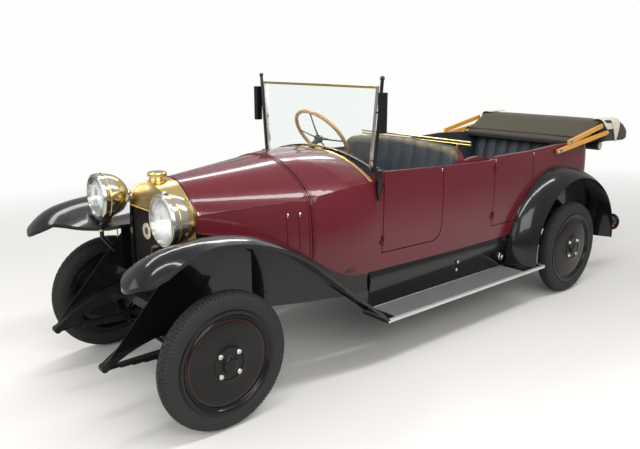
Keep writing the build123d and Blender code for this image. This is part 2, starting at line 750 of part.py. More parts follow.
def wing_panel(solid):
    """Inner panel from the rail up to the wing, with its raked front edge."""
    y = RAIL_Y + RAIL_W / 2
    low = RAIL_BOTTOM + 5
    side = loop(side_at(y), (-478, 385), (-183, 717), (-40, 870), (-40, 1100), (PANEL_END_S, 1100),
                (PANEL_END_S, low), (-60, low), (-419, 421))
    return prism(side, dy=PANEL_T) & down(solid, SHEET)


REAR_FENDER = [
    # y, how far the hollow runs past it, centre station, centre z, radius
    (575, -6, REAR_ARCH[0], REAR_ARCH[1], REAR_ARCH[2]),
    (FENDER_OUT - 112, 0, 3352, 430, 626),
    (FENDER_OUT - 42, 0, 3405, 408, 602),
    (FENDER_OUT, 6, 3458, 390, 562),
]


def rear_fender_solid(thin=0):
    """Filled rear wing through four upright arches, thinned all over to cut its hollow."""
    low = BOARD_TOP
    faces = []
    for y, past, s, z, r in REAR_FENDER:
        r = r - thin
        y = y + past if thin else y
        half = sqrt(r ** 2 - (z - low) ** 2)
        faces.append(loop(side_at(y), (s - half, low), ((s, z + r), (s + half, low))))
    return skin(faces)


def rear_fender():
    wing = rear_fender_solid() - rear_fender_solid(SHEET)
    wing = wing - block(3500, 4300, 400, 900, 200, 375)
    return wing - TUB


def running_board():
    """Board with its tread and its three arms from the rail."""
    board = block(BOARD_FRONT_S, BOARD_REAR_S, BOARD_IN, BOARD_OUT, BOARD_TOP - BOARD_T, BOARD_TOP)
    board = board + block(MAT_FRONT_S, MAT_REAR_S, BOARD_IN + 3 * MAT_INSET, BOARD_OUT - MAT_INSET,
                          BOARD_TOP, BOARD_TOP + MAT_T)
    rail_y = RAIL_Y + RAIL_W / 2
    arm_z = BOARD_TOP - BOARD_T
    for s in (1400, 2050, 2700):
        arm = loop(cross_at(s + 20), (rail_y, 530), (rail_y + 12, 530), (rail_y + 12, 470),
                   (BOARD_IN - 47, arm_z + 12), (BOARD_IN, arm_z), (BOARD_OUT - 39, arm_z),
                   (BOARD_OUT - 39, arm_z - 12), (BOARD_IN - 52, arm_z - 12), (rail_y, 460))
        board = board + prism(arm, dx=40)
    return board


def side_apron():
    """Sheet between the sill and the running board, creased along its length."""
    end_s = 2730
    face = loop(cross_at(end_s), (585, SILL_Z), (585 + SHEET, SILL_Z), (602 + SHEET, APRON_CREASE_Z),
                (BOARD_IN + SHEET, BOARD_TOP), (BOARD_IN, BOARD_TOP), (602, APRON_CREASE_Z))
    rear = prism(face, dx=end_s - APRON_SPLIT_S)
    line = [(440, RAIL_Y + RAIL_W / 2 + PANEL_T + SHEET), (500, 408), (780, 508), (1010, 566),
            (APRON_SPLIT_S, 586)]
    plan = loop(plan_at(430), *line, *[(s, y - SHEET) for s, y in reversed(line)])
    side = loop(side_at(300), (440, 464), (440, 866), (500, 838), (BONNET_REAR_S, 752),
                (APRON_SPLIT_S, 752), (APRON_SPLIT_S, 455))
    front = prism(plan, dz=500) & prism(side, dy=400)
    return (rear + front) - TUB - SCUTTLE - rear_fender_solid()


def floor():
    """Floor boards between the body sides, on two bearers along the rails."""
    board = (TUB_HOLLOW & block(TUB_FRONT_S, 3700, -700, 700, FLOOR_Z, FLOOR_Z + FLOOR_T))
    toe = block(FLOOR_FRONT_S, TUB_FRONT_S, -TOE_HALF, TOE_HALF, FLOOR_Z, FLOOR_Z + FLOOR_T)
    board = board + toe
    for side in (-1, 1):
        inner = side * (RAIL_Y - RAIL_W / 2)
        outer = side * (RAIL_Y + RAIL_W / 2)
        board = board + block(FLOOR_FRONT_S, 2690, inner, outer, RAIL_TOP, FLOOR_Z)
    return board


def back_arch(drop=0):
    """Solid under the arched top line of the front seat's back."""
    half = SEAT_HALF
    top = ARCH_TOP - drop
    right = (half - 150, top - 25)
    return prism(loop(cross_at(2600), (-half, 500), (-half, top - 135),
                      ((40 - half, top - 60), (-right[0], right[1])), ((0, top), right),
                      ((half - 40, top - 60), (half, top - 135)), (half, 500)), dx=1200)


def seat(back_s, back_top, cushion_s0, half, cushion_top):
    """Cushion on its box, with a leaning back."""
    low = FLOOR_Z + FLOOR_T
    cushion = block(cushion_s0, back_s - 60, -half, half, low + 130, cushion_top)
    box = block(cushion_s0 + 40, back_s - 60, -half, half, low, low + 130)
    back = loop(side_at(-half), (back_s - 60, low + 130), (back_s - 60, cushion_top),
                (back_s + 20, back_top - 60), ((back_s + 60, back_top), (back_s + 106, back_top - 60)),
                (back_s + 60, low + 130))
    whole = cushion + box + prism(back, dy=2 * half)
    return whole & (TUB_HOLLOW + block(1300, 4000, -half, half, TUB_TOP_Z - 1, 1500))


def steering_wheel():
    """Four-spoked wheel, its hub sunk below the rim."""
    centre = P(STEER_HUB[0], STEER_Y, STEER_HUB[1])
    rim = Plane(origin=centre, z_dir=STEER_AXIS).location * Torus(STEER_R, STEER_RIM_R)
    hub = centre - STEER_AXIS * STEER_DISH
    boss = rod(hub - STEER_AXIS * 24, hub + STEER_AXIS * 14, 34)
    whole = boss + rim
    side = Vector(0, 1, 0)
    up = STEER_AXIS.cross(side)
    for k in range(4):
        turn = radians(SPOKE_DEG + 90 * k)
        way = side * cos(turn) + up * sin(turn)
        whole = whole + rod(hub + way * 20, centre + way * STEER_R, 7)
    return whole


def steering_column():
    """Column down through the scuttle to its box on the right rail."""
    hub = P(STEER_HUB[0], STEER_Y, STEER_HUB[1]) - STEER_AXIS * STEER_DISH
    top = hub - STEER_AXIS * 27
    foot = hub - STEER_AXIS * 1200
    box = block(COLUMN_END_S - 50, COLUMN_END_S + 50, STEER_Y - 12, STEER_Y + 60, RAIL_TOP, RAIL_TOP + 110)
    stem = rod(foot, top, COLUMN_R) - block(0, COLUMN_END_S, -700, 0, 400, 1000)
    return box + stem


def windscreen_face(inset):
    d = inset
    low = (SCREEN_LOW_Y - d, SCREEN_LOW_Z + d)
    top = (SCREEN_TOP_Y - d, SCREEN_TOP_Z - d)
    return loop(cross_at(SCREEN_S + SCREEN_BAR / 2), (-low[0], low[1]), ((0, SCREEN_LOW_Z + 94 + d), low),
                top, (-top[0], top[1]))


def windscreen_frame():
    ring = prism(windscreen_face(0), dx=SCREEN_BAR) - prism(windscreen_face(SCREEN_BAR), dx=SCREEN_BAR)
    return ring - SCUTTLE


def windscreen_glass():
    return Pos(-5, 0, 0) * prism(windscreen_face(SCREEN_BAR), dx=6)


def windscreen_post():
    """Left post beside the frame with its two pivots, foot, finial and long side box."""
    lean = (SCREEN_TOP_Y - SCREEN_LOW_Y) / (SCREEN_TOP_Z - SCREEN_LOW_Z)

    def edge_y(z):
        return SCREEN_LOW_Y + lean * (z - SCREEN_LOW_Z)

    def at(z):
        return P(SCREEN_S, edge_y(z) + SCREEN_POST_OUT, z)

    top_z = SCREEN_TOP_Z + 46
    post = rod(at(SCREEN_LOW_Z - 30), at(top_z), SCREEN_POST_R) + Pos(at(top_z)) * Sphere(15)
    for z in (SCREEN_LOW_Z + 60, SCREEN_TOP_Z - 160):
        post = post + rod(P(SCREEN_S, edge_y(z) - 4, z), at(z), 6)
    y = SCREEN_LOW_Y
    z = SCREEN_LOW_Z
    foot = prism(loop(cross_at(SCREEN_S + 22), (y + 14, z - 40), (y + 14, z + 22), (y + 54, z + 22),
                      ((y + 74, z + 10), (y + 82, z - 15)), (y + 74, z - 188), (y + 54, z - 188),
                      (y + 54, z - 40)), dx=44)
    taper = loop(side_at(y), (SCREEN_S - 16, z + 30), (SCREEN_S + 16, z + 30), (SCREEN_S + 19, z - 60),
                 ((SCREEN_S + 12, z - 150), (SCREEN_S, z - 188)),
                 ((SCREEN_S - 12, z - 150), (SCREEN_S - 19, z - 60)))
    foot = foot & prism(taper, dy=100)
    box = block(SCREEN_S - 40, SCREEN_S + 5, 631, 668, 1480, 1725)
    arm = block(SCREEN_S - 6, SCREEN_S + 6, edge_y(1600) + SCREEN_POST_OUT, 640, 1590, 1610)
    return (post + foot + box + arm) - (TUB - CUT) - SCUTTLE - prism(windscreen_face(0), dx=SCREEN_BAR)


def folded_top():
    """Folded hood lying on the body's upper edge behind the rear seat."""
    end = TAIL_REACH
    side = loop(side_at(-TOP_HALF), (3700, 1200), (3700, 1240), (end - 475, 1405), (end - 185, 1392),
                (end - 9, 1289), (end, 1190), (end - 275, 1200))
    return prism(side, dy=2 * TOP_HALF) - (TUB - CUT) - REAR_SEAT


TOP_BOWS = [
    # front end s, z, rear end s, z
    (3268, 1190, 4075, 1292),
    (3423, 1250, 3967, 1355),
]


def top_bow(row):
    """Wooden bow along the folded top's left side."""
    s0, z0, s1, z1 = row
    n = Vector(z0 - z1, s1 - s0).normalized() * BOW_HALF
    side = loop(side_at(TOP_HALF), (s0 - n.X, z0 - n.Y), (s1 - n.X, z1 - n.Y), (s1 + n.X, z1 + n.Y),
                (s0 + n.X, z0 + n.Y))
    return prism(side, dy=BOW_T)


def top_bows():
    """The left bows, the first one on its pivot at the body side."""
    s, z = BOW_PIVOT
    pivot = rod(P(s, 590, z), P(s, TOP_HALF, z), 10) - TUB
    low, high = [top_bow(row) for row in TOP_BOWS]
    return [low + pivot, high]


def partition():
    """Shell behind the front seat, arched with its back, and its cheeks down to the body sides."""
    low = FLOOR_Z + FLOOR_T
    face = loop(side_at(-SEAT_HALF - 80), (PARTITION_S - 10, low), (PARTITION_S + 20, low),
                (PARTITION_S + 66, ARCH_TOP + 40), (PARTITION_S - 10, ARCH_TOP + 40))
    panel = prism(face, dy=2 * SEAT_HALF + 160)
    upper = block(1900, 2400, -SEAT_HALF, SEAT_HALF, TUB_TOP_Z - 1, ARCH_TOP + 40)
    panel = panel & (TUB_HOLLOW + upper) & back_arch(SHELL_DROP)
    cheek = prism(loop(side_at(SEAT_HALF - 6), (PARTITION_S + 20, 1180), (PARTITION_S + 34, ARCH_TOP - 133),
                       ((PARTITION_S + 110, 1232), (CHEEK_END_S, 1199)), (CHEEK_END_S, 1180)), dy=34)
    cheek = cheek - (TUB - CUT)
    return panel + cheek + other_side(cheek)


def robe_rail():
    """Two rods across the back of the front seat, on an arm near each end."""
    s = PARTITION_S + 115
    y = SEAT_HALF - 130
    bars = [rod(P(s, -SEAT_HALF, z), P(s, SEAT_HALF, z), 7) for z in (ROBE_Z - 11, ROBE_Z + 11)]
    whole = bars[0] + bars[1]
    for side in (-y, y):
        whole = whole + block(s - 5, s + 5, side - 9, side + 9, ROBE_Z - 42, ROBE_Z + 20)
        whole = whole + block(PARTITION_S + 20, s, side - 9, side + 9, ROBE_Z - 42, ROBE_Z - 32)
    return whole - PARTITION


def tail_lamp():
    """Round lamp on an arm from the left rear wing."""
    y = HALF_TRACK - 37
    arm = block(3930, 4110, y - 10, y + 10, 440, 460) - rear_fender_solid()
    return rod(P(4100, y, 470), P(4170, y, 470), 45) + arm


os.makedirs("parts", exist_ok=True)

FRAME = frame()
POWER_UNIT = power_unit()
FRONT_AXLE = front_axle()
REAR_AXLE = rear_axle()
save("frame", FRAME)
AXLES = {"front": FRONT_AXLE, "rear": REAR_AXLE}
springs = []
for name in SPRINGS:
    spring = leaf_spring(name)
    springs += [spring, other_side(spring)]
save("leaf_springs", *springs)
save("front_axle", FRONT_AXLE)
save("rear_axle", REAR_AXLE)
save("knuckle_left", knuckle(1))
save("knuckle_right", knuckle(-1))
save("tie_rod", tie_rod())
WHEEL = wheel()
TYRE = tyre()
for end, s in (("front", 0), ("rear", REAR_AXLE_S)):
    disc = WHEEL if end == "front" else WHEEL + drum()
    for hand, side in (("left", 1), ("right", -1)):
        left = wheel_place(s, HALF_TRACK) * disc
        left_tyre = wheel_place(s, HALF_TRACK) * TYRE
        save(f"wheel_{end}_{hand}", left if side > 0 else other_side(left))
        save(f"tyre_{end}_{hand}", left_tyre if side > 0 else other_side(left_tyre))
save("power_unit", POWER_UNIT)
save("exhaust", exhaust())
RADIATOR_SHELL = radiator_shell()
save("radiator_shell", RADIATOR_SHELL)
save("radiator_core", radiator_core())
for node, piece in (("headlamp_bowls", headlamp_bowl()), ("headlamp_rims", headlamp_rim()),
                    ("headlamp_lenses", headlamp_lens()), ("lamp_brackets", lamp_bracket()),
                    ("rear_fenders", rear_fender()), ("running_boards", running_board()),
                    ("side_aprons", side_apron()), ("windscreen_posts", windscreen_post())):
    save(node, piece, other_side(piece))
wing, wing_solid = front_fender()
wing = wing + wing_panel(wing_solid)
save("front_fenders", wing, other_side(wing))
lid = bonnet_left()
save("bonnet_left", lid)
save("bonnet_right", other_side(lid))
save("bonnet_hinge", bonnet_hinge())
save("body", body())
for name in DOORS:
    save(f"door_{name}_left", door(name))
    save(f"door_{name}_right", other_side(door(name)))
save("floor", floor())
save("front_seat", seat(2000, 1345, 1500, SEAT_HALF, 900) & back_arch())
REAR_SEAT = seat(3740, 1225, 3240, SEAT_HALF, 930)
save("rear_seat", REAR_SEAT)
PARTITION = partition()
save("partition", PARTITION)
save("windscreen_frame", windscreen_frame())
save("windscreen_glass", windscreen_glass())
save("steering_wheel", steering_wheel())
save("steering_column", steering_column())
save("folded_top", folded_top())
save("top_bows", *[piece for bow in top_bows() for piece in (bow, other_side(bow))])
save("robe_rail", robe_rail())
save("tail_lamp", tail_lamp())
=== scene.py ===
"""An open touring car of the 1920s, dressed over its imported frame.

Places are a station s behind the front axle, a side y, positive to the left, and a height z, all in
millimetres. place() turns them into the frame's axes, and a piece's mesh is written in metres.
"""
import json
import math

import bmesh
import bpy
import numpy as np
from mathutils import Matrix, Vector


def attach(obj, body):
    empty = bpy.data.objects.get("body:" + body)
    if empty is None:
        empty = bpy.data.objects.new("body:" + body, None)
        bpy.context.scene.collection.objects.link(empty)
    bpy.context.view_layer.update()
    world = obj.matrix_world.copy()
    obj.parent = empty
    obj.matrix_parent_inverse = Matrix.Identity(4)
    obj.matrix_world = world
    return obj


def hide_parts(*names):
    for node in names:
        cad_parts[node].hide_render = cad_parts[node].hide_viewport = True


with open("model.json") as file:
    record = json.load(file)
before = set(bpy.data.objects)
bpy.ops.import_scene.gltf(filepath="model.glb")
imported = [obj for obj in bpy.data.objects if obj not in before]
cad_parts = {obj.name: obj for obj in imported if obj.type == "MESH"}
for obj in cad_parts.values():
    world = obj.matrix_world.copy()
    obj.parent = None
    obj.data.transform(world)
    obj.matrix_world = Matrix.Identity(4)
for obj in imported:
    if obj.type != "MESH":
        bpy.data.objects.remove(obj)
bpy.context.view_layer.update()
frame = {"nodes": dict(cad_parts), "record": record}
NODES = frame["nodes"]
BODY_OF = {node: body for body, names in frame["record"]["behaviour"]["bodies"].items() for node in names}

AXLE_X = 1980.0         # the front axle ahead of the frame's origin
REAR_AXLE = 3400.0      # its station
HALF_TRACK = 727.0
TYRE_R = 382.5
SIDES = (("left", 1.0), ("right", -1.0))
ALONG, ACROSS, UP = (1, 0, 0), (0, 1, 0), (0, 0, 1)
TAU = 2.0 * math.pi


# Points and curves

def place(s, y, z):
    """Frame millimetres of stations, sides and heights: x is the axle's place less the station."""
    s, y, z = np.broadcast_arrays(np.asarray(s, float), y, z)
    return np.stack([AXLE_X - s, y, z], axis=-1)


def unit(v):
    """Vectors divided by their length."""
    v = np.asarray(v, float)
    return v / np.linalg.norm(v, axis=-1, keepdims=True)


def arc_through(a, b, c, count):
    """Circle through three points of a plane, sampled evenly by angle from a to c.

    Its middle is where the perpendicular bisectors of ab and bc cross."""
    a, b, c = (np.asarray(p, float) for p in (a, b, c))
    square_a, square_b, square_c = (np.sum(p * p) for p in (a, b, c))
    d = 2 * (a[0] * (b[1] - c[1]) + b[0] * (c[1] - a[1]) + c[0] * (a[1] - b[1]))
    x = (square_a * (b[1] - c[1]) + square_b * (c[1] - a[1]) + square_c * (a[1] - b[1])) / d
    y = (square_a * (c[0] - b[0]) + square_b * (a[0] - c[0]) + square_c * (b[0] - a[0])) / d
    r = np.hypot(a[0] - x, a[1] - y)
    start = np.arctan2(a[1] - y, a[0] - x)
    mid = (np.arctan2(b[1] - y, b[0] - x) - start) % TAU
    turn = (np.arctan2(c[1] - y, c[0] - x) - start) % TAU
    if mid > turn:
        turn -= TAU
    angle = start + turn * np.linspace(0, 1, count)
    return np.stack([x + r * np.cos(angle), y + r * np.sin(angle)], axis=-1)


def through_levels(at, values, where):
    """Quadratic through three rows of values given at three places."""
    a, b, c = at
    first = (where - b) * (where - c) / ((a - b) * (a - c))
    second = (where - a) * (where - c) / ((b - a) * (b - c))
    third = (where - a) * (where - b) / ((c - a) * (c - b))
    return first * values[0] + second * values[1] + third * values[2]


def smooth_curve(knots, count):
    """Catmull-Rom curve through the knots, the same number of samples on each span."""
    k = np.asarray(knots, float)
    k = np.vstack([2 * k[0] - k[1], k, 2 * k[-1] - k[-2]])
    spans = len(k) - 3
    u = np.linspace(0, spans, count)
    i = np.clip(u.astype(int), 0, spans - 1)
    t = (u - i)[:, None]
    p0, p1, p2, p3 = k[i], k[i + 1], k[i + 2], k[i + 3]
    return 0.5 * (2 * p1 + (p2 - p0) * t + (2 * p0 - 5 * p1 + 4 * p2 - p3) * t ** 2
                  + (3 * p1 - p0 - 3 * p2 + p3) * t ** 3)


def softened(profile, times=2):
    """Chaikin corner cutting: each corner becomes two points a quarter along its legs."""
    p = np.asarray(profile, float)
    for _ in range(times):
        cut = np.empty((2 * (len(p) - 1), p.shape[1]))
        cut[0::2] = 0.75 * p[:-1] + 0.25 * p[1:]
        cut[1::2] = 0.25 * p[:-1] + 0.75 * p[1:]
        p = np.vstack([p[:1], cut, p[-1:]])
    return p


def rounded(outline, times=3):
    """The same cutting on a closed outline."""
    p = np.asarray(outline, float)
    for _ in range(times):
        q = np.roll(p, -1, axis=0)
        p = np.stack([0.75 * p + 0.25 * q, 0.25 * p + 0.75 * q], axis=1).reshape(-1, 2)
    return p


def even(outline, count):
    """A closed outline resampled at equal steps."""
    p = np.vstack([outline, outline[:1]])
    run = np.concatenate([[0], np.cumsum(np.linalg.norm(np.diff(p, axis=0), axis=1))])
    at = np.linspace(0, run[-1], count, endpoint=False)
    return np.stack([np.interp(at, run, p[:, k]) for k in (0, 1)], axis=1)


def circle(r, count=12):
    """Round section: r times (cos, sin) of even angles."""
    angle = np.linspace(0, TAU, count, endpoint=False)
    return np.stack([r * np.cos(angle), r * np.sin(angle)], axis=1)


def oblong(w, h, r, n):
    """Section of a rectangle whose corners are quarter circles of n points."""
    corners = []
    for cx, cy, start in ((1, 1, 0), (-1, 1, 90), (-1, -1, 180), (1, -1, 270)):
        angle = np.radians(start + np.linspace(0, 90, n))
        corners.append(np.stack([cx * (w / 2 - r) + r * np.cos(angle), cy * (h / 2 - r) + r * np.sin(angle)],
                                axis=1))
    return np.vstack(corners)


def capped(rings, poles=None):
    """Rings closed by a point at each end: the poles, or else the middles of the end rings."""
    poles = rings[[0, -1]].mean(axis=1) if poles is None else poles
    first, last = (np.broadcast_to(pole, rings[0].shape)[None] for pole in poles)
    return np.concatenate([first, rings, last])


def lathe(profile, centre, axis, count):
    """Profile of (along the axis, radius) turned about the axis through centre."""
    axis = unit(axis)
    side = unit(np.cross(axis, UP if abs(axis[2]) < 0.9 else ALONG))
    lift = np.cross(axis, side)
    angle = np.linspace(0, TAU, count, endpoint=False)
    ring = np.cos(angle)[:, None] * side + np.sin(angle)[:, None] * lift
    profile = np.asarray(profile, float)
    return np.asarray(centre, float) + profile[:, None, :1] * axis + profile[:, None, 1:] * ring


def sweep(path, section, up=UP, loop=False):
    """Section of (side, up) offsets carried along a path, which closes on its ends or on itself."""
    path = np.asarray(path, float)
    way = unit(np.roll(path, -1, axis=0) - np.roll(path, 1, axis=0) if loop else np.gradient(path, axis=0))
    side = unit(np.cross(way, up))
    lift = np.cross(side, way)
    rings = path[:, None] + section[None, :, :1] * side[:, None] + section[None, :, 1:] * lift[:, None]
    return rings if loop else capped(rings, path[[0, -1]])


# Meshes and objects

def mended(mesh, merge=2e-6, slivers=0.0, outward=True):
    """Merges doubled points, drops slivers and turns the faces outwards."""
    bm = bmesh.new()
    bm.from_mesh(mesh)
    if merge:
        bmesh.ops.remove_doubles(bm, verts=bm.verts, dist=merge)
    if slivers:
        bmesh.ops.dissolve_degenerate(bm, edges=bm.edges, dist=slivers)
    if outward:
        bmesh.ops.recalc_face_normals(bm, faces=bm.faces)
    bm.to_mesh(mesh)
    bm.free()


def shaded(mesh, angle):
    """Smooth shading, sharp where faces meet at more than the angle. An angle of 0 leaves none sharp."""
    mesh.shade_smooth()
    if angle:
        mesh.set_sharp_from_angle(angle=math.radians(angle))


def added(name, mesh):
    """An object of the scene with this mesh, or with this lamp or camera."""
    obj = bpy.data.objects.new(name, mesh)
    bpy.context.scene.collection.objects.link(obj)
    return obj


def eased(obj, width, angle):
    """Rounds the edges that are sharper than the angle by a width in millimetres."""
    edge = obj.modifiers.new("edge", "BEVEL")
    edge.width = width / 1000.0
    edge.segments = 2
    edge.limit_method = "ANGLE"
    edge.angle_limit = math.radians(angle)
    edge.harden_normals = True


def mounted(obj, body, replaces=None):
    """Puts a piece on its body, in place of a node."""
    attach(obj, body)
    if replaces:
        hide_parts(replaces)


class Piece:
    """Grid surfaces gathered into one mesh object. Points are frame millimetres."""

    def __init__(self, name):
        self.name = name
        self.points = []
        self.quads = []
        self.looks = []
        self.finishes = []

    def faces(self, points, groups):
        """Points, and the faces on them as pairs of quads and finish."""
        start = sum(len(p) for p in self.points)
        self.points.append(points)
        for quads, finish in groups:
            if finish not in self.finishes:
                self.finishes.append(finish)
            self.quads.append(quads + start)
            self.looks.append(np.full(len(quads), self.finishes.index(finish)))

    def grid(self, points, finish, around=True, ring=False):
        """Rows x columns of points. around joins the last column to the first, and ring the rows."""
        rows, cols = points.shape[:2]
        r, c = np.meshgrid(np.arange(rows if ring else rows - 1), np.arange(cols if around else cols - 1),
                           indexing="ij")
        r, c = r.ravel(), c.ravel()
        r1, c1 = (r + 1) % rows, (c + 1) % cols
        quads = np.stack([r * cols + c, r1 * cols + c, r1 * cols + c1, r * cols + c1], axis=1)
        self.faces(points.reshape(-1, 3), [(quads, finish)])

    def turned(self, profile, centre, axis, finish, count, soft=2, ring=False):
        """A profile of (along, radius), softened and turned about an axis. ring closes the profile."""
        self.grid(lathe(softened(profile, soft), centre, axis, count), finish, ring=ring)

    def carried(self, path, section, finish, up=UP, loop=False):
        """A section carried along a path."""
        self.grid(sweep(path, section, up, loop), finish, ring=loop)

    def box(self, first, second, finish):
        """Box between two (s, y, z) corners."""
        first, second = place(*first), place(*second)
        pick = np.array([[i, j, k] for i in (0, 1) for j in (0, 1) for k in (0, 1)])
        corners = np.where(pick == 0, np.minimum(first, second), np.maximum(first, second))
        quads = np.array([[0, 1, 3, 2], [4, 6, 7, 5], [0, 4, 5, 1], [2, 3, 7, 6], [0, 2, 6, 4], [1, 5, 7, 3]])
        self.faces(corners, [(quads, finish)])

    def done(self, body, slot, replaces=None, wall=0.0, bevel=0.0, angle=35.0, closed=True):
        """Writes the mesh, closes its seams, and gives it wall, bevel and smooth shading."""
        mesh = bpy.data.meshes.new(self.name)
        mesh.from_pydata(np.vstack(self.points) / 1000.0, [], np.vstack(self.quads))
        mesh.polygons.foreach_set("material_index", np.concatenate(self.looks).astype(np.int32))
        for finish in self.finishes:
            mesh.materials.append(finish.material)
        mended(mesh, slivers=1e-7, outward=closed)
        shaded(mesh, angle)
        obj = added(self.name, mesh)
        if wall:
            solid = obj.modifiers.new("wall", "SOLIDIFY")
            solid.thickness = wall / 1000.0
            solid.offset = -1.0
            solid.use_even_offset = True
        if bevel:
            eased(obj, bevel, 40.0)
        mounted(obj, body, replaces)
        return obj


# Shader maths

class Value:
    """A socket of a finish. Arithmetic on it adds Math nodes."""

    def __init__(self, finish, socket):
        self.finish = finish
        self.socket = socket

    def maths(self, operation, *terms, clamp=False):
        """One Math node on these terms."""
        return self.finish.node("ShaderNodeMath", {"operation": operation, "use_clamp": clamp},
                                dict(enumerate(terms)))

    def __add__(self, other):
        return self.maths("ADD", self, other)

    __radd__ = __add__

    def __sub__(self, other):
        return self.maths("SUBTRACT", self, other)

    def __rsub__(self, other):
        return self.maths("SUBTRACT", other, self)

    def __mul__(self, other):
        return self.maths("MULTIPLY", self, other)

    __rmul__ = __mul__

    def __pow__(self, other):
        return self.maths("POWER", self, other)

    def __abs__(self):
        return self.maths("ABSOLUTE", self)

    def __or__(self, other):
        return self.maths("MAXIMUM", self, other)

    def wave(self):
        """Sine, moved and halved to run from 0 to 1."""
        return self.maths("SINE", self) * 0.5 + 0.5

    def above(self, level, soft=0.05):
        """1 above the level and 0 below it, over a soft edge."""
        return self.maths("MULTIPLY", self - (level - soft / 2), 1.0 / soft, clamp=True)


class Finish:
    """One material. node() makes every node and surface() feeds the shader."""

    def __init__(self, name, **constants):
        self.material = bpy.data.materials.new(name)
        self.material.use_nodes = True
        self.tree = self.material.node_tree
        self.shader = self.tree.nodes["Principled BSDF"]
        self.surface(**constants)

    def node(self, kind, settings=None, inputs=None, output=0):
        """A node of a kind: its settings first, then its sockets' values or links."""
        made = self.tree.nodes.new(kind)
        for key, value in (settings or {}).items():
            if key == "stops":
                while len(made.color_ramp.elements) < len(value):
                    made.color_ramp.elements.new(1.0)
                for element, (at, colour) in zip(made.color_ramp.elements, value):
                    element.position = at
                    element.color = (*colour, 1.0)
            else:
                setattr(made, key, value)
        for key, value in (inputs or {}).items():
            self.feed(made.inputs[key], value)
        return Value(self, made.outputs[output])

    def feed(self, socket, value):
        """Links a value to a socket, or sets it. A colour of three numbers gets an alpha of 1."""
        if isinstance(value, Value):
            self.tree.links.new(value.socket, socket)
        elif isinstance(value, tuple) and socket.type == "RGBA":
            socket.default_value = (*value, 1.0)
        else:
            socket.default_value = value

    def surface(self, **links):
        """Feeds the shader's sockets, named with _ for a space."""
        for key, value in links.items():
            self.feed(self.shader.inputs[key.replace("_", " ")], value)

    def spot(self, stretch=None):
        """Object coordinates, each axis scaled by stretch."""
        where = self.node("ShaderNodeTexCoord", output="Object")
        return self.node("ShaderNodeMapping", None, {0: where, "Scale": stretch}) if stretch else where

    def axis(self, name, source=None):
        """One axis of the object coordinates, or of another vector."""
        return self.node("ShaderNodeSeparateXYZ", None, {0: source or self.spot()}, output=name)

    def noise(self, scale, detail=3.0, rough=0.5, stretch=None):
        """Noise of 0 to 1, its grain 1/scale metres."""
        return self.node("ShaderNodeTexNoise", None, {"Vector": self.spot(stretch), "Scale": scale,
                                                      "Detail": detail, "Roughness": rough})

    def mixed(self, share, a, b):
        """Colour a where share is 0 and b where it is 1."""
        return self.node("ShaderNodeMix", {"data_type": "RGBA"}, {0: share, 6: a, 7: b}, output=2)

    def distance(self, centre, scale):
        """Length from a frame point in metres, each axis scaled."""
        moved = self.node("ShaderNodeVectorMath", {"operation": "SUBTRACT"}, {0: self.spot(), 1: centre})
        moved = self.node("ShaderNodeVectorMath", {"operation": "MULTIPLY"}, {0: moved, 1: scale})
        return self.node("ShaderNodeVectorMath", {"operation": "LENGTH"}, {0: moved}, output="Value")

    def bump(self, height, depth, strength):
        """Normal from a height of 0 to 1, depth in metres."""
        return self.node("ShaderNodeBump", None, {"Height": height, "Distance": depth, "Strength": strength})


class Room(Finish):
    """The world, whose shader is its background."""

    def __init__(self, name):
        world = bpy.data.worlds.new(name)
        world.use_nodes = True
        bpy.context.scene.world = world
        self.tree = world.node_tree
        self.shader = self.tree.nodes["Background"]


# Finishes

def scaled(colour, k):
    """A colour times k, no channel above 1."""
    return tuple(min(1.0, c * k) for c in colour)


def enamel(name, colour, rough, haze, coat):
    """Old hand-rubbed coach enamel: soft polish marks, faint orange peel and a clear coat."""
    f = Finish(name, Coat_Roughness=0.035, Coat_IOR=1.4, Specular_IOR_Level=0.18, Coat_Weight=coat)
    cloud = f.noise(2.2, 4.0, 0.55)
    fine = f.noise(38.0)
    rub = f.noise(9.0, 2.0, 0.5, (1.0, 1.0, 6.0))
    f.surface(Base_Color=f.mixed(cloud, scaled(colour, 0.86), scaled(colour, 1.18)),
              Roughness=rough + haze * cloud * rub * 2.0 + 0.04 * fine,
              Normal=f.bump(f.noise(260.0, 2.0), 0.00012, 0.35))
    return f


def metal(name, colour, tarnish, rough, spread=0.35, grain=0.05):
    """Polished metal: brushed scratches, hazy patches and a darker tarnish in them."""
    f = Finish(name, Metallic=1.0)
    cloud = f.noise(14.0, 5.0, 0.62)
    patch = f.noise(5.0).above(0.52, 0.22)
    scratch = f.noise(160.0, 2.0, 0.6, (1.0, 0.12, 1.0))
    f.surface(Base_Color=f.mixed(patch * spread + cloud * 0.2, colour, tarnish),
              Roughness=rough + 0.16 * patch * cloud + grain * scratch,
              Normal=f.bump(f.noise(90.0), 0.0003, 0.25))
    return f


def rubber():
    """Aged tyre rubber: chalky bloom in clouds and fine pitting."""
    f = Finish("tyre_rubber", Specular_IOR_Level=0.35)
    cloud = f.noise(7.0, 5.0, 0.6)
    f.surface(Base_Color=f.mixed(cloud, (0.009, 0.0095, 0.0105), (0.024, 0.0235, 0.023)),
              Roughness=0.58 + 0.22 * cloud, Normal=f.bump(f.noise(420.0, 3.0, 0.6), 0.0004, 0.5))
    return f


def grained(name, rough):
    """Dressed hide before its colour: grain cells with creases between. Gives finish and creases."""
    f = Finish(name, Specular_IOR_Level=0.45, Sheen_Weight=0.08)
    cells = f.node("ShaderNodeTexVoronoi", {"feature": "DISTANCE_TO_EDGE"},
                   {"Vector": f.spot(), "Scale": 420.0})
    crease = f.noise(26.0, 5.0, 0.65)
    f.surface(Roughness=rough + 0.2 * crease, Normal=f.bump(cells * 0.5 + crease * 0.9, 0.0014, 0.45))
    return f, crease


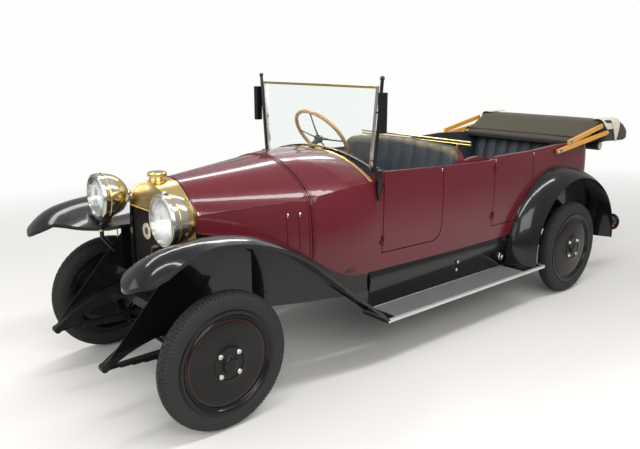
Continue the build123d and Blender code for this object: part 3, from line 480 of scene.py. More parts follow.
def hide(name, colour, worn):
    """Hide of one colour with paler worn places."""
    f, crease = grained(name, 0.38)
    wear = f.noise(4.5, 4.0, 0.6).above(0.55, 0.3)
    f.surface(Base_Color=f.mixed(wear * 0.55 + crease * 0.15, colour, worn))
    return f


def hide_with_painted_top_highlight(low, low_worn, lit_top, lit_top_worn, turn):
    """Hide of the front seat's back: low colours in the pleats, and lit colours, a painted highlight, where
    it turns over the top.

    The mesh carries below_top, each point's depth in metres under the top line, and the colours
    change at the depth turn."""
    f, crease = grained("front_back_hide_painted_highlight", 0.36)
    depth = f.node("ShaderNodeAttribute", {"attribute_name": "below_top"}, output=2)
    wear = f.noise(9.0, 4.0, 0.6).above(0.5, 0.25)
    low = f.mixed(wear * 0.3 + crease * 0.15, low, low_worn)
    lit_top = f.mixed(wear * 0.6 + crease * 0.2, lit_top, lit_top_worn)
    # Over the top the colour is painted highlight: olive for the warm light that the rounded top catches.
    f.surface(Base_Color=f.mixed(1.0 - depth.above(turn, 0.02), low, lit_top))
    return f


def canvas(name, colour, faded):
    """Rubbered duck: a plain weave of two sine waves, sun-faded folds and a dull face."""
    f = Finish(name, Specular_IOR_Level=0.25, Sheen_Weight=0.15, Sheen_Roughness=0.5)
    x, y, z = (f.axis(n) for n in "XYZ")
    weave = (y * 2600.0).wave() * ((x + z) * 2600.0).wave()
    cloud = f.noise(5.0, 5.0, 0.6)
    streak = f.noise(18.0, 3.0, 0.55, (1.0, 0.25, 1.0))
    f.surface(Base_Color=f.mixed(cloud * 0.6 + streak * 0.4, colour, faded), Roughness=0.62 + 0.18 * cloud,
              Normal=f.bump(weave + streak * 1.2, 0.0006, 0.45))
    return f


def varnished_wood(name, pale, dark, stretch):
    """Varnished ash: long rings stretched along the piece under a clear coat."""
    f = Finish(name, Coat_Roughness=0.08, Coat_Weight=0.7)
    rings = f.noise(6.0, 6.0, 0.7, stretch)
    fibre = f.noise(40.0, 4.0, 0.6, stretch)
    f.surface(Base_Color=f.mixed(rings * 0.7 + fibre * 0.35, pale, dark), Roughness=0.34 + 0.16 * fibre,
              Normal=f.bump(fibre, 0.0004, 0.3))
    return f


def glass(name, tint, rough=0.0):
    """Clear plate glass with faint smears."""
    f = Finish(name, IOR=1.5, Transmission_Weight=1.0)
    f.surface(Base_Color=tint, Roughness=rough + 0.03 * f.noise(6.0, 4.0) ** 3.0)
    return f


def plain(name, scale, colour, other, rough, **constants):
    """Small smooth piece: two close colours in clouds."""
    f = Finish(name, **constants)
    f.surface(Base_Color=f.mixed(f.noise(scale), colour, other), Roughness=rough)
    return f


def linoleum(pitch=0.006):
    """Grey linoleum with fine ribs along the board, a pitch apart, and scuffs."""
    f = Finish("grey_linoleum", Specular_IOR_Level=0.4)
    rib = (f.axis("Y") * (TAU / pitch)).wave() ** 0.7
    scuff = f.noise(22.0, 6.0, 0.68, (0.3, 1.0, 1.0))
    cloud = f.noise(3.0, 4.0)
    f.surface(Base_Color=f.mixed(scuff * 0.6 + cloud * 0.3, (0.085, 0.093, 0.092), (0.17, 0.18, 0.178)),
              Roughness=0.5 + 0.25 * scuff, Normal=f.bump(rib + scuff * 0.6, 0.0009, 0.5))
    return f


def wheel_paint(hand, station):
    """Black disc with one thin red line round it, dulled by dust towards the rim."""
    f = Finish(f"disc_enamel_{hand}_{int(station)}", Coat_Roughness=0.04, Coat_IOR=1.36, Coat_Weight=0.55,
               Specular_IOR_Level=0.1)
    r = f.distance(tuple(place(station, 0, TYRE_R) / 1000.0), (1.0, 0.0, 1.0))
    outside = abs(f.axis("Y")).above((HALF_TRACK + 15) / 1000.0, 0.004)
    line = r.above(0.2305, 0.0006) * (1.0 - r.above(0.2332, 0.0006)) * outside
    cloud = f.noise(6.0, 4.0)
    black = f.mixed(cloud, (0.004, 0.004, 0.0046), (0.009, 0.0085, 0.008))
    f.surface(Base_Color=f.mixed(line, black, (0.11, 0.009, 0.011)),
              Roughness=0.14 + 0.2 * cloud * r.above(0.1, 0.2),
              Normal=f.bump(f.noise(240.0, 2.0), 0.0001, 0.3))
    return f


MAROON = enamel("maroon_enamel", (0.105, 0.0085, 0.0155), 0.17, 0.10, 0.8)
BLACK = enamel("black_enamel", (0.0045, 0.0045, 0.0055), 0.15, 0.12, 0.8)
CHASSIS = enamel("chassis_black", (0.007, 0.0068, 0.0066), 0.34, 0.2, 0.25)
BRASS = metal("polished_brass", (0.78, 0.62, 0.27), (0.46, 0.33, 0.12), 0.13)
CORE_EDGE = metal("blackened_brass", (0.075, 0.06, 0.04), (0.02, 0.018, 0.014), 0.34, 0.6)
NICKEL = metal("nickel_plate", (0.74, 0.71, 0.66), (0.42, 0.39, 0.34), 0.09)
SILVER = metal("silvered_reflector", (0.92, 0.92, 0.9), (0.78, 0.76, 0.7), 0.04, 0.2, 0.01)
ALLOY = metal("aluminium_edging", (0.84, 0.85, 0.84), (0.6, 0.61, 0.6), 0.34, 0.3, 0.12)
STEEL = metal("dull_steel", (0.3, 0.29, 0.28), (0.1, 0.085, 0.07), 0.36, 0.6)
RUBBER = rubber()
BLUE_BLACK = ((0.012, 0.018, 0.027), (0.045, 0.056, 0.062))
HIDE = hide("blue_black_hide", *BLUE_BLACK)
# The two olive colours are the painted highlight where the front back turns over its top.
BACK_HIDE_PAINTED_HIGHLIGHT = hide_with_painted_top_highlight(*BLUE_BLACK, (0.046, 0.041, 0.021), (0.15, 0.125, 0.055), 0.046)
TAN_HIDE = hide("tan_hide", (0.42, 0.16, 0.035), (0.5, 0.24, 0.08))
# Olive painted highlight for the piping along the front back's top: the warm light caught there.
OLIVE_HIGHLIGHT_HIDE = hide("olive_painted_highlight_binding", (0.052, 0.044, 0.02), (0.14, 0.115, 0.05))
CANVAS = canvas("olive_canvas", (0.034, 0.028, 0.015), (0.066, 0.055, 0.032))
LINING = canvas("black_lining", (0.012, 0.012, 0.013), (0.03, 0.029, 0.028))
WEBBING = canvas("cream_webbing", (0.5, 0.45, 0.36), (0.68, 0.63, 0.53))
ASH = varnished_wood("varnished_ash", (0.80, 0.40, 0.045), (0.56, 0.235, 0.02), (1.2, 14.0, 14.0))
RIM_WOOD = varnished_wood("wheel_rim_wood", (0.66, 0.35, 0.07), (0.42, 0.18, 0.025), (14.0, 1.2, 14.0))
PLATE_GLASS = glass("plate_glass", (0.93, 0.97, 0.955))
LENS_GLASS = glass("lamp_glass", (0.97, 0.98, 0.98), 0.01)
RUBY_GLASS = glass("ruby_glass", (0.75, 0.02, 0.015), 0.03)
BULB = Finish("bulb_glass", Transmission_Weight=1.0, IOR=1.45, Base_Color=(0.98, 0.97, 0.93))
BULB.surface(Roughness=0.02 + 0.02 * BULB.noise(30.0))
CREAM = plain("cream_enamel", 60.0, (0.66, 0.6, 0.44), (0.55, 0.48, 0.33), 0.3, Coat_Weight=0.6,
              Coat_Roughness=0.05)
DEEP = plain("dark_enamel", 60.0, (0.012, 0.016, 0.035), (0.02, 0.022, 0.03), 0.25, Coat_Weight=0.8,
             Coat_Roughness=0.04)
# Near-black painted shade: the insides of the core's cells and the block behind them, dark because no light
# reaches in.
CORE_SHADE = plain("core_painted_shade", 40.0, (0.006, 0.0056, 0.005), (0.016, 0.014, 0.011), 0.5, Metallic=0.6)
LINOLEUM = linoleum()


# Stage, camera and light

PHOTO_WIDTH = 640.0         # pixels
FOCAL_LENGTH = 670.63       # pixels
SENSOR = 36.0
CAMERA = (3.7076, 3.5302, 1.9219)
CAMERA_YAW, CAMERA_PITCH = -2.2771, -0.242
FLOOR_HALF = 12.0
ROOM_TONES = ((0.0, 0.42), (0.12, 0.62), (0.45, 0.72), (1.0, 0.9))      # height of the look, tone
LIGHTS = [
    # name, place, aim, size, watts
    ("window_left", (3.0, 5.5, 3.6), (0.0, 0.0, 0.6), (4.8, 3.0), 190),
    ("ceiling_row_near", (0.4, 1.9, 4.2), (0.2, 0.4, 0.8), (6.5, 0.35), 120),
    ("ceiling_row_far", (0.4, -2.2, 4.2), (0.0, -0.3, 0.8), (6.5, 0.5), 110),
    ("front_fill", (6.5, -0.5, 2.6), (1.5, 0.0, 0.8), (6.0, 3.6), 115),
]


def pale_floor():
    """Plain floor that fades out far from the car."""
    finish = Finish("pale_floor", Specular_IOR_Level=0.3, Base_Color=(0.74, 0.725, 0.70))
    far = finish.distance((0.0, 0.0, 0.0), (0.78, 1.0, 1.0))
    finish.surface(Roughness=0.55 + 0.1 * finish.noise(3.0), Alpha=1.0 - far.above(4.6, 4.4))
    mesh = bpy.data.meshes.new("studio_floor")
    r = FLOOR_HALF
    mesh.from_pydata([(-r, -r, 0), (r, -r, 0), (r, r, 0), (-r, r, 0)], [], [(0, 1, 2, 3)])
    mesh.materials.append(finish.material)
    added("studio_floor", mesh)


def photo_camera():
    """The camera of the photograph, from its fitted focal length, place and direction."""
    data = bpy.data.cameras.new("camera")
    data.sensor_fit = "HORIZONTAL"
    data.sensor_width = SENSOR
    data.lens = SENSOR * FOCAL_LENGTH / PHOTO_WIDTH
    camera = added("camera", data)
    camera.location = CAMERA
    level = math.cos(CAMERA_PITCH)
    look = Vector((level * math.cos(CAMERA_YAW), level * math.sin(CAMERA_YAW), math.sin(CAMERA_PITCH)))
    camera.rotation_euler = look.to_track_quat("-Z", "Y").to_euler()
    bpy.context.scene.camera = camera


def room_light():
    """A room that is brighter overhead, which the camera sees as white, also through glass."""
    room = Room("room")
    height = room.axis("Z", room.node("ShaderNodeTexCoord", output="Generated"))
    stops = [(at, (tone, tone * 0.99, tone * 0.97)) for at, tone in ROOM_TONES]
    tones = room.node("ShaderNodeValToRGB", {"stops": stops}, {0: height})
    seen, through = (room.node("ShaderNodeLightPath", output=f"Is {ray} Ray") for ray in
                     ("Camera", "Transmission"))
    room.surface(Color=room.mixed(seen | through, tones, (1.32, 1.32, 1.31)), Strength=0.75)
    for name, where, aim, size, power in LIGHTS:
        data = bpy.data.lights.new(name, "AREA")
        data.shape = "RECTANGLE"
        data.size, data.size_y = size
        data.energy = power
        light = added(name, data)
        light.location = where
        light.rotation_euler = (Vector(aim) - Vector(where)).to_track_quat("-Z", "Y").to_euler()


def stage():
    """Plain pale floor, soft room light and the photograph's camera."""
    pale_floor()
    bpy.context.scene.view_settings.view_transform = "Standard"
    photo_camera()
    room_light()


# Wheels and tyres

TREAD_PITCHES = 54
TREAD_CUTS = np.array([0.0, 0.1, 0.135, 0.28, 0.43, 0.5, 0.6, 0.635, 0.78, 0.93])      # shares of a pitch
TREAD_ROWS = np.array([0, 2.6, 3.6, 13.5, 14.5, 17.0, 18.0, 27.0, 28.0, 30.5, 31.5, 38.5, 40.5])
GROOVES = np.array([15.75, 29.25])      # either side of the crown's middle
GROOVE_DEPTH = 5.5
LUG_DEPTH = 3.8
BEAD = [(40, 288), (36, 287.5), (0, 287.5)]     # the tyre's foot on the rim, as (across, radius)


def tyre_grid(s, y):
    """Closed ring of rubber, its crown 11 mm * (w / 37 mm) ** 2.4 lower at w from the middle.

    It is cut by round grooves and by cross cuts, which are half a pitch further on between the
    grooves. On the shoulders both sets of cuts show as lugs."""
    theta = ((np.arange(TREAD_PITCHES)[:, None] + TREAD_CUTS) / TREAD_PITCHES).ravel() * TAU
    phase = np.tile(TREAD_CUTS, TREAD_PITCHES)
    first, second = phase < 0.11, (phase > 0.49) & (phase < 0.61)
    rows = np.concatenate([-TREAD_ROWS[:0:-1], TREAD_ROWS])
    w = np.abs(rows)
    groove = np.any(np.abs(w[:, None] - GROOVES) < 1.7, axis=1)
    cross = np.where(((w > 16) & (w < 29))[:, None], second, first)
    lug = (w > 31)[:, None] & (first | second)
    crown = (TYRE_R - 11.0 * (w / 37.0) ** 2.4)[:, None] - GROOVE_DEPTH * (groove[:, None] | cross | lug)
    wall = np.vstack([arc_through((40.5, TYRE_R - 14.5), (52.5, 335.0), (44.0, 287.5), 15)[1:], BEAD])
    flank = np.repeat(wall[:, 1:], len(theta), axis=1)
    flank[:3] -= LUG_DEPTH * (first | second)
    radii = np.concatenate([flank[::-1], crown, flank])
    widths = np.concatenate([-wall[::-1, 0], rows, wall[:, 0]])[:, None]
    return place(s - radii * np.cos(theta), y + widths, TYRE_R + radii * np.sin(theta))


# Profiles of (outward from the wheel's middle plane, radius)
DISC = [(-44, 42), (34, 42), (38, 100), (28, 228), (10, 247), (-44, 250), (-50, 252), (-50, 287),
        (-45, 287.5), (-43, 264), (-38, 258), (38, 258), (43, 264), (45, 287.5), (50, 287.5), (50, 268),
        (34, 256), (30, 248), (40, 238), (51, 100), (57, 97), (58, 50)]
BORE_R = 25
DRUM = [(-44, 20), (-44, 44), (-44, 157), (-48, 160), (-82, 160), (-82, 154), (-50, 154), (-56, 44),
        (-56, 20)]
HUB_RING = [(52, 92), (60.5, 92), (61.5, 88), (60.5, 84), (52, 84)]
HUB_CAP = [(57, 49), (60, 49), (64, 45), (72, 43), (77, 38), (80, 28), (80.0, 0)]
NUT = [(50, 0), (50, 15), (63, 15), (66, 12.5), (66, 6), (73, 6), (75, 4.5), (76, 0)]
WASHER = [(50, 0), (50, 18.5), (53, 18.5), (53.6, 17.5), (53.6, 0)]
NUT_CIRCLE = 79.0


def wheel(end, s, hand, side):
    """Tyre, pressed disc with its rim (and drum at the rear), and hub with four nuts."""
    body = f"wheel_{end}_{hand}"
    centre = place(s, side * HALF_TRACK, TYRE_R)
    axis = (0.0, side, 0.0)
    tyre = Piece(f"{end}_{hand}_tyre")
    tyre.grid(tyre_grid(s, side * HALF_TRACK), RUBBER)
    tyre.done(body, f"tyre_{end}_{hand}", replaces=f"tyre_{end}_{hand}", angle=50)

    paint = wheel_paint(hand, s)
    disc = Piece(f"{end}_{hand}_disc")
    profile = np.vstack([[(-44, BORE_R)], softened(DISC), [(58, BORE_R)]])
    disc.turned(profile, centre, axis, paint, 144, soft=0, ring=True)
    if end == "rear":
        disc.turned(DRUM, centre, axis, CHASSIS, 96, soft=1, ring=True)
    disc.done(body, body, replaces=body, angle=40)

    hub = Piece(f"{end}_{hand}_hub")
    hub.turned(HUB_RING, centre, axis, paint, 96, soft=1)
    hollow_cap = np.vstack([[(57, 27)], softened(HUB_CAP), [(67, 0), (66, 27)]])
    hub.turned(hollow_cap, centre, axis, paint, 64, soft=0, ring=True)
    for turn in np.radians([45, 135, 225, 315]):
        at = centre + NUT_CIRCLE * np.array([math.cos(turn), 0, math.sin(turn)])
        hub.turned(NUT, at, axis, NICKEL, 12, soft=1)
        hub.turned(WASHER, at, axis, NICKEL, 24, soft=0)
    hub.done(body, body, angle=40)


def wheels():
    """Two wheels on each axle."""
    for end, s in (("front", 0.0), ("rear", REAR_AXLE)):
        for hand, side in SIDES:
            wheel(end, s, hand, side)


# Pieces kept from the frame

SHELL_BRASS_Z = 1.064       # metres, the foot of the radiator shell's brass top
SHELL_FOOT_Z = 0.735
KEPT_ANGLE = 30.0


def faces_inside(centre, normal):
    """Faces behind the scuttle that look to the car's middle, and those behind the seats that look ahead."""
    inward = normal[:, 1] * np.sign(centre[:, 1]) < -0.35
    inward |= (normal[:, 0] > 0.35) & (centre[:, 0] < -1.2)
    return inward & (centre[:, 0] < 0.745)


def shell_black(centre, normal):
    """The shell below its brass: its front, its inner walls and its foot."""
    front = (np.abs(normal[:, 1]) < 0.6) & (centre[:, 0] > 1.93)
    inner = normal[:, 1] * centre[:, 1] < 0
    return ((centre[:, 2] < SHELL_BRASS_Z) & (front | inner)) | (centre[:, 2] < SHELL_FOOT_Z)


def bowl_front(centre, normal):
    """The plated band behind the lamp's rim."""
    return centre[:, 0] > 2.052


def screen_foot(centre, normal):
    """The black lower rail of the windscreen."""
    return centre[:, 2] < 1.336


def screen_sides(centre, normal):
    """The plated uprights of the windscreen, which lean outwards by 92 mm in a metre."""
    z = centre[:, 2]
    return (z > 1.25) & (z < 1.745) & (np.abs(centre[:, 1]) > 0.524 + (z - 1.24) * 0.092)


KEPT = [
    # node, finish, bevel
    ("frame", CHASSIS, 1.5), ("front_axle", CHASSIS, 1.2), ("rear_axle", CHASSIS, 1.2),
    ("knuckle_left", CHASSIS, 1.2), ("knuckle_right", CHASSIS, 1.2), ("leaf_springs", CHASSIS, 0.5),
    ("tie_rod", CHASSIS, 0.8), ("power_unit", STEEL, 3.0), ("exhaust", STEEL, 1.0),
    ("steering_column", BLACK, 0.8), ("floor", LINING, 1.0),
    ("bonnet_left", MAROON, 0.8), ("bonnet_right", MAROON, 0.8), ("bonnet_hinge", MAROON, 0),
    ("front_fenders", BLACK, 0.9), ("rear_fenders", BLACK, 0.9), ("side_aprons", BLACK, 0.6),
    ("running_boards", BLACK, 0.8), ("lamp_brackets", BLACK, 0), ("headlamp_rims", NICKEL, 0.6),
    ("windscreen_posts", BLACK, 1.5), ("windscreen_glass", PLATE_GLASS, 0), ("top_bows", ASH, 2),
    ("robe_rail", BRASS, 0.6), ("tail_lamp", BLACK, 1.2), ("body", MAROON, 1.2), ("partition", MAROON, 2.0),
    ("radiator_shell", BRASS, 1.5), ("headlamp_bowls", BRASS, 0), ("windscreen_frame", BRASS, 1.2),
    ("door_front_left", MAROON, 1.2), ("door_front_right", MAROON, 1.2), ("door_rear_left", MAROON, 1.2),
    ("door_rear_right", MAROON, 1.2),
]
PATCHES = {
    "body": [(HIDE, faces_inside)], "radiator_shell": [(BLACK, shell_black)],
    "headlamp_bowls": [(NICKEL, bowl_front)],
    "windscreen_frame": [(BLACK, screen_foot), (NICKEL, screen_sides)],
    "door_front_left": [(HIDE, faces_inside)], "door_front_right": [(HIDE, faces_inside)],
    "door_rear_left": [(HIDE, faces_inside)], "door_rear_right": [(HIDE, faces_inside)],
}


def dressed(node, finish, bevel, patches):
    """A merged copy of a frame node's mesh, smooth but for its sharp edges.

    patches gives other finishes to the faces that a test on centres and normals picks."""
    mesh = NODES[node].data.copy()
    mended(mesh)
    if "custom_normal" in mesh.attributes:
        mesh.attributes.remove(mesh.attributes["custom_normal"])
    mesh.materials.clear()
    mesh.materials.append(finish.material)
    centres, normals = np.empty((2, len(mesh.polygons) * 3))
    mesh.polygons.foreach_get("center", centres)
    mesh.polygons.foreach_get("normal", normals)
    looks = np.zeros(len(mesh.polygons), np.int32)
    for k, (other, picks) in enumerate(patches, start=1):
        mesh.materials.append(other.material)
        looks[picks(centres.reshape(-1, 3), normals.reshape(-1, 3))] = k
    mesh.polygons.foreach_set("material_index", looks)
    shaded(mesh, KEPT_ANGLE)
    obj = added(f"{node}_piece", mesh)
    if bevel:
        eased(obj, bevel, KEPT_ANGLE)
    mounted(obj, BODY_OF[node], node)


def kept_pieces():
    """Every node whose own shape shows, in its finish."""
    for node, finish, bevel in KEPT:
        dressed(node, finish, bevel, PATCHES.get(node, ()))


# Surfaces of the body, as formulas

SECTION_POINTS = 60
SECTIONS = np.array([
    # s, crest_z, knee_y, knee_z, hip_y, hip_z, waist_y, waist_z, foot_y, foot_z
    (124, 1249, 175, 1192, 277, 1063, 283, 1000, 286, 940),
    (786, 1318, 300, 1259, 493, 1109, 515, 940, 522, 735),
    (1010, 1324, 362, 1276, 556, 1150, 580, 900, 572, 602),
    (1225, 1322, 408, 1270, 594, 1178, 606, 940, 588, 582),
], float)
TUB = np.array([
    # z, half width at the scuttle, at the doors, at the rear corners, rear end station
    (582, 588, 618, 588, 3925), (940, 606, 640, 612, 3950), (1262, 598, 628, 602, 3940),
], float)
CORNER_R = 200.0


def row_at(s):
    """Section row at a station: straight between radiator and scuttle, quadratic behind."""
    front, back = SECTIONS[0, 0], SECTIONS[1, 0]
    if s <= back:
        share = (s - front) / (back - front)
        return SECTIONS[0] * (1 - share) + SECTIONS[1] * share
    return through_levels(SECTIONS[1:, 0], SECTIONS[1:], s)


def section_line(s, out=0.0):
    """Left half of the section at s as (y, z): an arc from crest to hip and one from hip to foot.

    out moves it along its normal, in millimetres."""
    r = row_at(s)
    top = arc_through((0, r[1]), (r[2], r[3]), (r[4], r[5]), SECTION_POINTS)
    side = arc_through((r[4], r[5]), (r[6], r[7]), (r[8], r[9]), SECTION_POINTS)
    line = np.vstack([top, side[1:]])
    if out:
        way = unit(np.gradient(line, axis=0))
        line = line + out * np.stack([-way[:, 1], way[:, 0]], axis=1)
    return line


def side_y(s, z):
    """Half width of bonnet and scuttle at a station and height, below the hip."""
    line = section_line(s)[SECTION_POINTS:]
    return float(np.interp(-z, -line[:, 1], line[:, 0]))


def across(s, out, low):
    """Section path over the car at s, above a height, from the left foot to the right."""
    line = section_line(s, out)
    line = line[line[:, 1] > low]
    line = np.vstack([line[::-1], line[1:] * np.array([-1.0, 1.0])])
    return place(s, line[:, 0], line[:, 1])


def tub_y(s, z):
    """Half width of the tub ahead of its rear corners: an arc along each level, quadratic between."""
    s = np.asarray(s, float)
    widths = []
    for _, scuttle, doors, corner, rear in TUB:
        end = rear - CORNER_R
        line = arc_through((1225, scuttle), ((1225 + end) / 2, doors), (end, corner), 200)
        widths.append(np.interp(s, line[:, 0], line[:, 1]))
    return through_levels(TUB[:, 0], np.array(widths), np.asarray(z, float))


# Lamps

LAMP = (-150.0, 421.0, 1103.0)      # s, y and z of the left lens
REFLECTOR_R = 126.5
REFLECTOR_DEPTH = 80.0
REFLECTOR_FOCUS = 52.0
BULB_HOLDER = [(-74, 0), (-74, 19), (-66, 19), (-62, 15), (-52, 15), (-50, 9), (-46, 0)]
BULB_SHAPE = [(-50, 0), (-50, 8), (-40, 17), (-22, 17), (-12, 8), (-9, 0)]
LENS_R = 127.8
LENS_BEAD = [(15, 122.5), (15.5, 126), (14, 130), (11.5, 131), (10.5, 124), (12, 122), (15, 122.5)]
BOWL_BEAD = [(-30, 139), (-29, 142), (-33, 144), (-37, 142), (-36, 138), (-30, 139)]
LUG = [(-13, 0), (-13, 6), (-9, 8), (9, 8), (13, 6), (13, 0)]
LUG_PIN = [(-14, 0), (-14, 4), (14, 4), (14, 0)]
BOWL_BOSS = [(-6, 0), (-6, 17), (2, 18), (8, 9), (14, 9), (18, 5), (19, 0)]
COLLAR = [(0, 0), (0, 17.5), (5, 19), (10, 17.5), (10, 0)]


def lens_grid(centre, radius, pitch, depth):
    """Disc whose front is ribbed: height = depth * cos(2 pi y / pitch), fading at the edge."""
    rings = np.linspace(0, 1, 44)[:, None]
    angle = np.linspace(0, TAU, 220, endpoint=False)[None, :]
    y = rings * radius * np.cos(angle)
    z = rings * radius * np.sin(angle)
    fade = np.clip((1 - rings) * 9, 0, 1)
    x = 3.5 + fade * (depth * np.cos(TAU * y / pitch) + 5.0 * (1 - rings ** 2))
    front = np.stack([x, y, z], axis=-1)
    back = np.stack([np.full_like(y, -0.5), y, z], axis=-1)[::-1]
    return np.concatenate([front, back]) + centre


def lamp_trim(hand, side, at):
    """Plated and brass beads, the two lugs of the rim, the boss behind, and a stay with its eye."""
    trim = Piece(f"lamp_trim_{hand}")
    trim.turned(LENS_BEAD, at, ALONG, NICKEL, 128, soft=1)
    trim.turned(BOWL_BEAD, at, ALONG, BRASS, 128, soft=1)
    for up in (1, -1):
        lug = at + np.array([-18.0, 0, up * 146.0])
        trim.turned(LUG, lug, ALONG, NICKEL, 24, soft=1)
        trim.turned(LUG_PIN, lug, ACROSS, NICKEL, 20, soft=1)
    trim.turned(BOWL_BOSS, at + np.array([-206.0, 0, 0]), (-1, 0, 0), BRASS, 32)
    trim.turned(COLLAR, place(-172, side * 341, 905), UP, BRASS, 28, soft=1)
    stay = smooth_curve([place(-128, side * 398, 992), place(-84, side * 394, 958),
                         place(-58, side * 388, 900), place(-52, side * 384, 832)], 40)
    trim.carried(stay, circle(4.0), BRASS, up=ACROSS)
    eye = circle(13, 36)
    eye = place(-52 - eye[:, 0], side * 384, 818 + eye[:, 1])
    trim.carried(eye, circle(3.6, 10), BRASS, up=ACROSS, loop=True)
    trim.done("chassis", "headlamp_rims", angle=40)


def lamps():
    """Reflector, a paraboloid of x = r ** 2 / (4 * focus), with its bulb and ribbed lens, on each side."""
    for hand, side in SIDES:
        at = place(*LAMP) * np.array([1, side, 1])
        r = np.linspace(0, REFLECTOR_R, 40)
        inside = Piece(f"reflector_{hand}")
        dish = np.stack([r ** 2 / (4 * REFLECTOR_FOCUS) - REFLECTOR_DEPTH, r], axis=1)
        inside.turned(dish, at, ALONG, SILVER, 96, soft=0)
        inside.turned(BULB_HOLDER, at, ALONG, NICKEL, 32)
        inside.done("chassis", "headlamp_rims", angle=40)
        bulb = Piece(f"bulb_{hand}")
        bulb.turned(BULB_SHAPE, at, ALONG, BULB, 32, soft=3)
        bulb.done("chassis", "headlamp_lenses", angle=60)
        lens = Piece(f"headlamp_lens_{hand}")
        lens.grid(lens_grid(at, LENS_R, 11.0, 0.9), LENS_GLASS)
        lens.done("chassis", "headlamp_lenses", replaces="headlamp_lenses" if side > 0 else None, angle=0)
        lamp_trim(hand, side, at)


# Radiator

CELL = 10.5             # pitch of the tubes
CELL_WALL = 0.86        # inner radius as a share of the outer
CELL_DEPTH = 9.0
BADGE = (-1, -70, 930)
BADGE_RINGS = [
    ([(-2, 50), (6, 51.5), (9, 50), (9, 47)], NICKEL),
    ([(9, 47), (9.8, 44.5), (9.8, 42), (9.4, 40.5)], CREAM),
    ([(9.4, 40.5), (9.0, 39), (9.2, 37)], DEEP),
    ([(9.2, 37), (10.2, 34), (10.2, 27), (9.4, 24.5)], CREAM),
    ([(9.4, 24.5), (10.4, 16), (11, 8), (11.2, 0)], DEEP),
]
FILLER_S = 45
FILLER_NECK = [(1190, 41.5), (1236, 41.5), (1239, 48.5), (1252, 48.5), (1255, 41.5), (1262, 41.5)]
FILLER_CAP = [(1261, 38), (1262, 52), (1266, 55.5), (1284, 55.5), (1288, 52), (1291, 44), (1293, 0)]


def honeycomb():
    """Cells of a hexagonal tube core: a narrow wall round each, and near-black painted shade on their inner
    walls and on a floor 9 mm in.
    """
    rise = CELL * 0.866
    rows, cols = np.arange(int(410 / rise)), np.arange(int(500 / CELL))
    row, col = (v.ravel() for v in np.meshgrid(rows, cols, indexing="ij"))
    y = -247 + CELL * (col + 0.5 + 0.5 * (row % 2)) * 0.985
    centres = np.stack([y, 656 + rise * row], axis=1)
    angle = np.arange(6) * TAU / 6 + TAU / 12
    hexagon = CELL / math.sqrt(3) * np.stack([np.cos(angle), np.sin(angle)], axis=1)
    layers = []
    for share, back in ((1.0, 0.0), (CELL_WALL, 0.0), (CELL_WALL, CELL_DEPTH)):
        flat = centres[:, None] + share * hexagon
        layers.append(place(1.0 + back, flat[..., 0], flat[..., 1]))
    points = np.stack(layers, axis=1).reshape(-1, 3)
    base = np.arange(len(centres))[:, None] * 18
    k, k1 = np.arange(6), np.roll(np.arange(6), -1)
    rim = np.stack([base + k, base + k1, base + 6 + k1, base + 6 + k], axis=2).reshape(-1, 4)
    floor = np.concatenate([base + 12 + np.array([half]) for half in ([0, 1, 2, 3], [0, 3, 4, 5])])
    core = Piece("honeycomb_core")
    # The inner walls and the floor of each cell are painted shade.
    core.faces(points, [(rim, CORE_EDGE), (np.vstack([rim + 6, floor]), CORE_SHADE)])
    core.done("chassis", "radiator_core", replaces="radiator_core", angle=0, closed=False)


def filler_cap():
    """Turned cap whose grip is a wave of 40 flutes, 2% of the radius deep."""
    angle = np.linspace(0, TAU, 240, endpoint=False)
    profile = softened(FILLER_CAP)
    grip = np.clip(1 - np.abs(profile[:, 0] - 1275) / 9.0, 0, 1)[:, None]
    radius = profile[:, 1:] * (1 + 0.02 * np.cos(40 * angle) * grip)
    return place(FILLER_S - radius * np.cos(angle), radius * np.sin(angle), profile[:, :1])


def radiator():
    """Honeycomb, the block behind it in near-black painted shade, plain badge, filler with its cap, and a
    bead over the core.
    """
    honeycomb()
    front = Piece("radiator_details")
    # Block behind the cells in painted shade, near-black as the core's shadowed inside.
    front.box((2, -252, 650), (90, 252, 1062), CORE_SHADE)
    for profile, finish in BADGE_RINGS:
        front.turned(profile, place(*BADGE), ALONG, finish, 64)
    front.grid(filler_cap(), BRASS)
    front.turned(FILLER_NECK, place(FILLER_S, 0, 0), UP, BRASS, 64, soft=1)
    front.carried(place(-12.0, np.linspace(-252, 252, 40), 1061.0), circle(4.5, 10), BRASS, up=ALONG)
    front.done("chassis", "radiator_shell")


# Beads, rods and other body trim

LATCH_PIN = [(-9, 0), (-9, 4.2), (9, 4.2), (11, 3), (11.5, 0)]
PIN_STATIONS = ((1268.0, 1191.0), (1850.0, 1187.0), (2452.0, 1192.0), (2958.0, 1200.0))     # s, z
BONNET_RODS = (637.0, 709.0)        # stations
PLATE_AT = (1046, 626)      # s, z of the small oval on the scuttle's side


def knob(piece, s, y, z, r, axis, length, finish=NICKEL):
    """Small turned button standing off a surface."""
    profile = [(-3, 0), (-3, r * 0.55), (0, r * 0.6), (length * 0.35, r * 0.55), (length * 0.5, r),
               (length * 0.85, r * 0.9), (length, r * 0.4), (length + 0.4, 0)]
    piece.turned(profile, place(s, y, z), axis, finish, 20)


def scuttle_beads():
    """Half-round beads over the scuttle: full rounds carried along the skin, half of each sunk."""
    scuttle = Piece("scuttle_beads")
    for s, out, low, r, finish in ((795, 0.6, 760, 4.2, MAROON), (805, 0.4, 760, 1.8, MAROON),
                                   (1198, 1.0, 1168, 4.6, BRASS), (1210, 1.0, 1172, 3.4, BRASS)):
        scuttle.carried(across(s, out, low), circle(r), finish, up=ALONG)
    scuttle.done("chassis", "body", angle=60)


